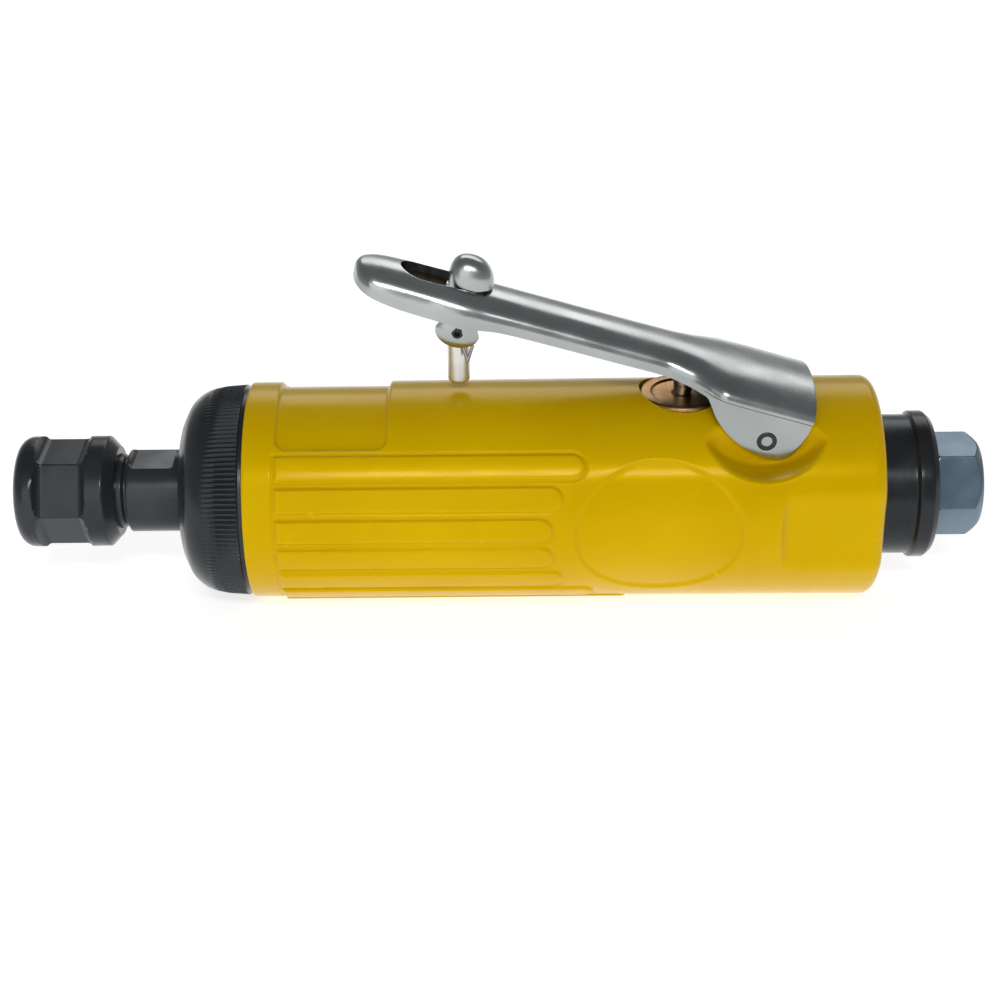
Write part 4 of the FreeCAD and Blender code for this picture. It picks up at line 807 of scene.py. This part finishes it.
def makeLug(side):
    shape = lugShape
    outline = []
    for i in range(shape["lowSteps"] + 1):
        angle = math.pi + math.pi * i / shape["lowSteps"]
        outline.append((shape["radius"] * math.cos(angle), shape["radius"] * math.sin(angle) * shape["squash"]))
    for i in range(1, shape["topSteps"]):
        share = i / shape["topSteps"]
        outline.append((shape["radius"] * (1 - 2 * share), shape["height"] * min(1, 4 * share, 4 * (1 - share))))
    count = len(outline)
    points, faces = [], []
    for index, share in enumerate(shape["rings"]):
        dome = shape["rim"] + (shape["crown"] - shape["rim"]) * (1 - share ** shape["domePower"])
        points += [(lugX + x * share, side * dome, lugZ + z * share) for x, z in outline]
    for share in (shape["rings"][-1], 1.0):
        points += [(lugX + x * share, side * shape["inner"], lugZ + z * share) for x, z in outline]
    loops = len(shape["rings"]) + 2
    for ring in range(loops):
        low, high = ring * count, (ring + 1) % loops * count
        for i in range(count):
            j = (i + 1) % count
            faces.append((low + i, low + j, high + j, high + i))
    name = "latch_lug_" + ("far" if side > 0 else "near")
    return meshPiece(name, leverToWorld(np.array(points)), faces, chromePlate, "lever", (), 40)


for side in (-1, 1):
    makeLug(side)


# ---------- pins
pinShape = {"boreDepth": 3.0, "middle": 0.01, "mouthRound": 0.08, "edgeRound": 0.3, "segments": 64}


def makeRollPin(name, node, body, radius, bore, inset):
    shape = pinShape
    lo, hi = cadCorner(node)
    start, end, deep, middle = lo[1] + inset, hi[1] - inset, shape["boreDepth"], shape["middle"]
    line = roundedLine([(start + deep, bore, 0), (start, bore, shape["mouthRound"]),
                        (start, radius, shape["edgeRound"]), (end, radius, shape["edgeRound"]),
                        (end, bore, shape["mouthRound"]), (end - deep, bore, 0),
                        (end - deep, middle, 0), (start + deep, middle, 0)], 12.0)
    verts, faces = turnedGrid(line, shape["segments"], None, True, "z")
    centreX, centreZ = (lo[0] + hi[0]) / 2 * mm, (lo[2] + hi[2]) / 2 * mm
    moved = np.stack([verts[:, 0] + centreX, verts[:, 2], verts[:, 1] + centreZ], 1)
    return meshPiece(name, moved, faces, blackOxide, body, (node,), 35)


makeRollPin("lever_roll_pin", "lever_pin", "housing", 1.74, 0.95, 0.35)
makeRollPin("latch_roll_pin", "latch_pin", "lever", 0.89, 0.5, 0.0)
print("pins made")


# ---------- safety latch: domed thumb tab, boss and round prop
latchShape = {"tabFront": 1.5, "tabRear": 6.3, "tabBase": 6.4, "tabTop": 11.68, "tabHalf": 3.3, "tabPower": 0.74,
              "tabUnder": 0.2, "fall": 0.26, "fallStart": 0.3, "fallPower": 1.5, "rows": 40, "columns": 56,
              "prop": 1.9, "propTop": 6.8, "boss": 2.95, "bossHalf": 4.6, "middle": 0.01, "segments": 64}
latchFoot = cadCorner("safety_latch")[0][2]


def makeTab():
    # a sphere's points pushed towards a box, cut flat underneath, and falling away to the rear
    shape = latchShape
    rows, columns = shape["rows"], shape["columns"]
    centre = (latchX + (shape["tabRear"] - shape["tabFront"]) / 2, 0, latchZ + shape["tabBase"])
    halves = ((shape["tabRear"] + shape["tabFront"]) / 2, shape["tabHalf"], shape["tabTop"] - shape["tabBase"])
    verts = []
    for i in range(rows + 1):
        v = math.pi * i / rows - math.pi / 2
        for j in range(columns):
            u = 2 * math.pi * j / columns
            raw = (math.cos(v) * math.cos(u), math.cos(v) * math.sin(u), math.sin(v))
            p = [math.copysign(abs(c) ** shape["tabPower"], c) * h for c, h in zip(raw, halves)]
            rearward = float(np.clip((p[0] / halves[0] + shape["fallStart"]) / (1 + shape["fallStart"]), 0, 1))
            p[2] = max(p[2] * (1 - shape["fall"] * rearward ** shape["fallPower"]), -shape["tabUnder"])
            verts.append([(centre[k] + p[k]) * mm for k in range(3)])
    faces = []
    for i in range(rows):
        for j in range(columns):
            k = (j + 1) % columns
            faces.append((i * columns + j, i * columns + k, (i + 1) * columns + k, (i + 1) * columns + j))
    return meshPiece("latch_tab", verts, faces, chromePlate, "latch", ("safety_latch",), 60)


def makeProp():
    shape = latchShape
    top = latchZ + shape["propTop"]
    line = roundedLine([(top, shape["middle"], 0), (top, shape["prop"], 0.2),
                        (latchFoot, shape["prop"], 1.5), (latchFoot, shape["middle"], 0)], 8.0)
    verts, faces = turnedGrid(denser(line, 1.0), shape["segments"], None, False, "z")
    verts[:, 0] += latchX * mm
    return meshPiece("latch_prop", verts, faces, satinPlate, "latch", (), 40)


def makeBoss():
    shape = latchShape
    half = shape["bossHalf"]
    line = roundedLine([(-half, shape["middle"], 0), (-half, shape["boss"], 0.4), (half, shape["boss"], 0.4),
                        (half, shape["middle"], 0)], 10.0)
    verts, faces = turnedGrid(line, shape["segments"], None, False, "z")
    moved = np.stack([verts[:, 0] + latchX * mm, verts[:, 2], verts[:, 1] + latchZ * mm], 1)
    return meshPiece("latch_boss", moved, faces, chromePlate, "latch", (), 40)


makeTab()
makeProp()
makeBoss()
print("latch made")

# ---------- valve bushing: a turned brass plug with a dished face
valveShape = {"headRound": 0.6, "dishRadius": 5.6, "dishSlope": 0.4, "dishDepth": 0.35, "guide": 1.66,
              "guideBevel": 0.3, "guideLength": 4, "chamber": 3.9, "footBevel": 0.3, "step": 0.5, "segments": 144}


def makeBushing():
    shape = valveShape
    radius, top, foot = (bushingHi[0] - bushingLo[0]) / 2, bushingHi[2], bushingLo[2]
    dish = top - shape["dishDepth"]
    bevel, guideEnd = shape["guideBevel"], top - shape["guideLength"]
    line = roundedLine([(foot, radius - shape["footBevel"], 0), (foot + shape["footBevel"], radius, 0.1),
                        (top, radius, shape["headRound"]), (top, shape["dishRadius"], 0.2),
                        (dish, shape["dishRadius"] - shape["dishSlope"], 0.2), (dish, shape["guide"] + bevel, 0.1),
                        (dish - bevel, shape["guide"], 0.0), (guideEnd, shape["guide"], 0.0),
                        (guideEnd, shape["chamber"], 0.0), (foot, shape["chamber"], 0.0)], 10.0)
    verts, faces = turnedGrid(denser(line, shape["step"]), shape["segments"], None, True, "z")
    verts[:, 0] += valveX * mm
    return meshPiece("bushing_head", verts, faces, finishes["bushing_brass"], "housing", ("valve_bushing",),
                     40)


makeBushing()
print("valve made")


# ---------- floor, light and camera
studio = {"floorDrop": 0.35, "floorReach": 3.0, "floorTone": (0.62, 0.62, 0.62), "floorLight": (0.66, 0.66, 0.66),
          "floorRoughness": 0.9, "floorSpecular": 0.1, "floorGlow": 0.74, "worldPower": 1.0,
          "overhead": (0.20, 0.205, 0.21), "overheadFrom": 0.75, "horizon": (0.40, 0.41, 0.42)}
floorMesh = bpy.data.meshes.new("floor")
reach = studio["floorReach"]
floorZ = cadBox[0][2] - studio["floorDrop"] * mm
floorMesh.from_pydata([(-reach, -reach, floorZ), (reach, -reach, floorZ), (reach, reach, floorZ),
                       (-reach, reach, floorZ)], [], [(0, 1, 2, 3)])
floor = bpy.data.objects.new("floor", floorMesh)
bpy.context.scene.collection.objects.link(floor)
floorMaterial, floorTree, floorShader = newMaterial("paleFloor")
floorTone = ramp(floorTree, noiseAt(floorTree, 3.0).outputs["Fac"],
                 [(0.3, studio["floorTone"]), (0.7, studio["floorLight"])])
floorTree.links.new(floorTone.outputs["Color"], floorShader.inputs["Base Color"])
floorShader.inputs["Roughness"].default_value = studio["floorRoughness"]
floorShader.inputs["Specular IOR Level"].default_value = studio["floorSpecular"]
floorShader.inputs["Emission Color"].default_value = (1, 1, 1, 1)
floorShader.inputs["Emission Strength"].default_value = studio["floorGlow"]
floorMesh.materials.append(floorMaterial)

world = bpy.data.worlds.new("studioWorld")
bpy.context.scene.world = world
world.use_nodes = True
backdrop = world.node_tree.nodes["Background"]
backdrop.inputs["Strength"].default_value = studio["worldPower"]
skyCoords = addNode(world.node_tree, "ShaderNodeTexCoord")
skySplit = addNode(world.node_tree, "ShaderNodeSeparateXYZ")
world.node_tree.links.new(skyCoords.outputs["Generated"], skySplit.inputs["Vector"])
skyTone = ramp(world.node_tree, skySplit.outputs["Z"],
               [(0.0, studio["horizon"]), (studio["overheadFrom"], studio["overhead"])])
world.node_tree.links.new(skyTone.outputs["Color"], backdrop.inputs["Color"])

objectMiddle = (Vector(cadBox[0]) + Vector(cadBox[1])) / 2
lampTable = {
    "keyLamp": {"place": (0.02, -0.62, 0.52), "size": (0.30, 0.09), "power": 2.1},
    "softLamp": {"place": (-0.25, -0.80, 0.25), "size": (0.6, 0.5), "power": 1.0},
    "backLamp": {"place": (0.10, 0.80, 0.55), "size": (0.8, 0.4), "power": 1.8},
}
for lampName, lamp in lampTable.items():
    light = bpy.data.lights.new(lampName, "AREA")
    light.shape = "RECTANGLE"
    light.size, light.size_y = lamp["size"]
    light.energy = lamp["power"]
    holder = bpy.data.objects.new(lampName, light)
    holder.location = objectMiddle + Vector(lamp["place"])
    holder.rotation_euler = (objectMiddle - holder.location).to_track_quat("-Z", "Y").to_euler()
    bpy.context.scene.collection.objects.link(holder)

# the camera looks at the spindle axis from the near side, a little above
cameraSet = {"along": 0.5065, "distance": 0.340, "elevation": 27.0, "roll": -0.53, "lens": 68.4,
             "sensor": 36.0, "nearest": 0.01, "shift": (-0.005, -0.013)}
cameraData = bpy.data.cameras.new("camera")
cameraData.lens = cameraSet["lens"]
cameraData.sensor_width = cameraSet["sensor"]
cameraData.shift_x, cameraData.shift_y = cameraSet["shift"]
cameraData.clip_start = cameraSet["nearest"]
camera = bpy.data.objects.new("camera", cameraData)
bpy.context.scene.collection.objects.link(camera)
target = Vector((cadBox[0][0] + (cadBox[1][0] - cadBox[0][0]) * cameraSet["along"], 0, 0))
tilt = math.radians(cameraSet["elevation"])
toCamera = Vector((0, -math.cos(tilt), math.sin(tilt)))
camera.location = target + toCamera * cameraSet["distance"]
aim = (-toCamera).to_track_quat("-Z", "Y").to_matrix().to_4x4()
camera.rotation_euler = (aim @ Matrix.Rotation(math.radians(cameraSet["roll"]), 4, "Z")).to_euler()
bpy.context.scene.camera = camera
bpy.context.scene.view_settings.view_transform = "Standard"
print("camera and lights set")
